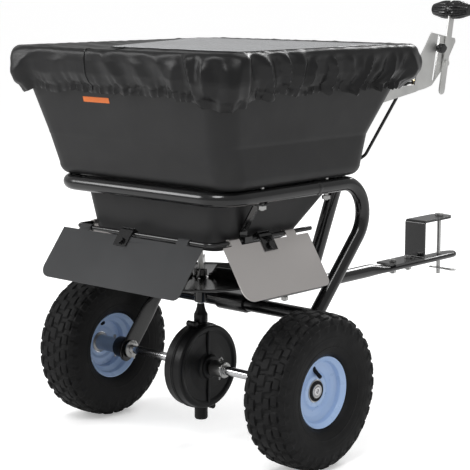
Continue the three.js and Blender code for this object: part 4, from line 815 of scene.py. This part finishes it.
def crease(place, slant, width, size, low=0.0, high=1.0):
    """One pleat that runs from the hem towards the rim, leaning, with a hollow on each side of it."""
    gap = (run[None, :] - place + slant * (1 - level)[:, None] + whole / 2) % whole - whole / 2
    hollow = 0.42 * np.exp(-((np.abs(gap) - 1.9 * width) / width) ** 2)
    ridge = np.exp(-np.abs(gap / width) ** 1.35) - hollow
    fade_in, fade_out = ease((level - low + 0.12) / 0.24), ease((high - level + 0.12) / 0.3)
    return size * ridge * fade_in[:, None] * fade_out[:, None]


# places round the rim in millimetres: where pleats begin and end, how far apart, how deep, how wide
pleat_runs = ((1545, 1960, 41, 10.5, 9.5), (1425, 1545, 27, 8.0, 10.0), (1075, 1420, 78, 4.0, 17.0),
              (0, 520, 46, 8.0, 11.0), (560, 1060, 52, 7.0, 12.0))
pleats = np.zeros((len(level), len(run)))
for begin, end, apart, size, width in pleat_runs:
    for place in np.arange(begin, end, apart):
        pleats += crease(place + chance.uniform(-0.25, 0.25) * apart, chance.uniform(-1, 1) * apart * 0.9,
                         width * chance.uniform(0.7, 1.35), size * chance.uniform(0.6, 1.15),
                         chance.uniform(-0.2, 0.25), chance.uniform(0.72, 1.0))
gather_spacing = 15.5
gathers = np.zeros_like(pleats)
for place in np.arange(0, whole, gather_spacing):
    gathers += crease(place + chance.uniform(-5, 5), chance.uniform(-6, 6), chance.uniform(3.2, 5.0),
                      chance.uniform(1.2, 3.4), -0.2, chance.uniform(0.1, 0.3))
broad = ripple([160, 230], 2.0, 2.0, level) * np.interp(level, [0, 0.3, 0.8, 1], [0, 1, 0.7, 0.2])[:, None]
puff = (10 * near(244, -208, 62) + 9 * near(-244, -208, 64) + 5 * near(244, 295, 60))[None] * np.interp(
    level, [0, 0.2, 0.5, 0.85, 1], [0.1, 1, 1, 0.4, 0])[:, None]
# how far the cloth stands out, in millimetres: never into the tub, and tight again at the rim
slack, rim_gap, push_limit = 6.0, 3.4, 23
push = slack + pleats + gathers + broad + puff
push = np.maximum(push, np.interp(level, [0, 0.16, 0.24, 1], [2.6, 3.2, 3.2, rim_gap])[:, None])
push = push + (rim_gap - push) * ease((level - 0.88) / 0.12)[:, None] * 0.75
push = np.minimum(push, push_limit)
skirt = skirt + normal[None] * push[..., None]
drop = (-19 * near(244, -208, 50) - 5 * near(-244, -208, 50) - 4 * near(244, 295, 70)
        + 2.0 * ripple([90, 140], 1, 0, np.zeros(1))[0] - 0.45 * pleats[2] - 0.5 * gathers[1])
heights = height[:, None] + drop[None] * np.interp(level, [0, 0.2, 0.6, 0.9], [1, 0.95, 0.4, 0])[:, None]
heights = heights + ripple([26, 60], 0.8, 4.0, level) * np.interp(
    level, [0, 0.5, 0.86, 1], [1, 1, 0.6, 0.4])[:, None]
skirt = np.dstack([skirt, heights])

# the window's outline: from its middle a ray through each point of the rim meets one of four sides
middle = np.array([40.0, 40.0])
window_corners = np.array([(230, 226), (-236, 243), (-62, -150), (236, -158)], dtype=float)
ray = outline - middle
reach = np.full(len(outline), np.inf)
for here, there in zip(window_corners, np.roll(window_corners, -1, axis=0)):
    span = there - here
    cross = ray[:, 0] * span[1] - ray[:, 1] * span[0]
    t = ((here - middle)[0] * span[1] - (here - middle)[1] * span[0]) / cross
    reach = np.where((t > 0) & (t < reach), t, reach)
for _ in range(14):
    reach = (np.roll(reach, 1) + 2 * reach + np.roll(reach, -1)) / 4
window_edge = middle + ray * reach[:, None]
last = skirt[-1]
parts = np.concatenate([np.linspace(0.06, 0.9, 15), [0.94, 0.97, 1.0]])
top = last[None, :, :2] + (window_edge[None] - last[None, :, :2]) * parts[:, None, None]
width = np.linalg.norm(window_edge - last[:, :2], axis=1)
sag = -np.minimum(width * 0.05, 9) * 4
top_height = 561.2 + sag[None] * (parts * (1 - parts))[:, None]
top_height = top_height + ripple([38, 75, 120], 1.0, 6.0, parts) * np.interp(
    parts, [0, 0.2, 0.8, 1], [0.3, 1, 0.8, 0.15])[:, None]
top_height = top_height + np.interp(parts, [0.93, 0.95, 1], [0, 0.9, 0.9])[:, None] - 0.6 * parts[:, None]
pleats_on_top = np.interp(parts, [0, 0.12, 0.55], [0.12, 0.32, 0])
top_height = top_height + np.clip(pleats[-10], -3, 8)[None] * pleats_on_top[:, None]
top = np.dstack([top, top_height])
hem_in = skirt[0] - np.dstack([normal[None] * 1.2, np.zeros((1, len(run)))])[0] + (0, 0, 5)
cover_rows = np.concatenate([hem_in[None], skirt, top])


cover = skin("cloth_cover", millimetres(cover_rows), cloth, "cover", caps=False)
thick = cover.modifiers.new("thickness", "SOLIDIFY")
thick.thickness, thick.offset = 0.0011, 0
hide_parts("hopper_cover")

seam_rows = carried(np.concatenate([top[-2][::4], top[-2][:1]]) + (0, 0, 0.8), (0, 0, 1), 0.7, sides=8)[:-1]
seam = skin("window_seam", millimetres(seam_rows), cloth, "cover", over=True)

# one bound seam from the hem over the rim to the window
column = int(np.argmin(np.hypot(outline[:, 0] + 46, outline[:, 1] + 218)))
piping_line = np.concatenate([skirt[2::2, column] + (0, -1.1, 0.4), top[:-1, column] + (0, -0.3, 1.1)])
piping = skin("cover_piping", millimetres(carried(piping_line, (1, 0, 0), 1.2, 1.0, sides=12)),
              gloss_coat, "cover")

vinyl = finish("clear_vinyl", (0.62, 0.63, 0.645), 0.16, mottle=0.06, mottle_scale=6, grain=0.2,
               grain_scale=30, depth=0.002, alpha=0.72, coat_weight=0.4)
rings = np.concatenate([np.linspace(1.0, 0.06, 26), [0.01]])
sheet_flat = middle + (window_edge - middle)[None] * rings[:, None, None]
sheet_x, sheet_y = sheet_flat[..., 0], sheet_flat[..., 1]
waves = 1.2 * np.sin(sheet_x / 41 + sheet_y / 67) + np.sin(sheet_y / 33 - sheet_x / 90 + 1.3) - 1.5
inward = (1 - rings ** 2)[:, None]
edge_height = top[-1][:, 2] + 0.9
sheet_height = edge_height[None] * rings[:, None] ** 2 + inward * edge_height.mean() + inward * 1.6 * waves
window_rows = np.dstack([sheet_flat, sheet_height])
window = skin("vinyl_window", millimetres(window_rows), vinyl, "cover", caps="last")
window_thick = window.modifiers.new("thickness", "SOLIDIFY")
window_thick.thickness, window_thick.offset = 0.0006, 0
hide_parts("cover_window")

# ---- Plain mark -----------------------------------------------------------------------------------
# A small blank bar of orange film on the tub's rear wall, where such machines carry their lettering.
film = finish("orange_film", (0.72, 0.16, 0.02), 0.35, mottle=0.05, grain=0.08, grain_scale=300)
mark_left, mark_right = -82, -20
mark = []
for z, inset, proud in ((472, 0.5, 0.15), (472.6, 0, 0.4), (480.4, 0, 0.4), (481, 0.5, 0.15)):
    wall_y = -(175 + 43 * (z - 410) / 145) - proud
    left, right = mark_left + inset, mark_right - inset
    mark.append([(left, wall_y, z), (right, wall_y, z), (right, wall_y + 0.5, z), (left, wall_y + 0.5, z)])
skin("plain_orange_bar", millimetres(mark), film, "frame")
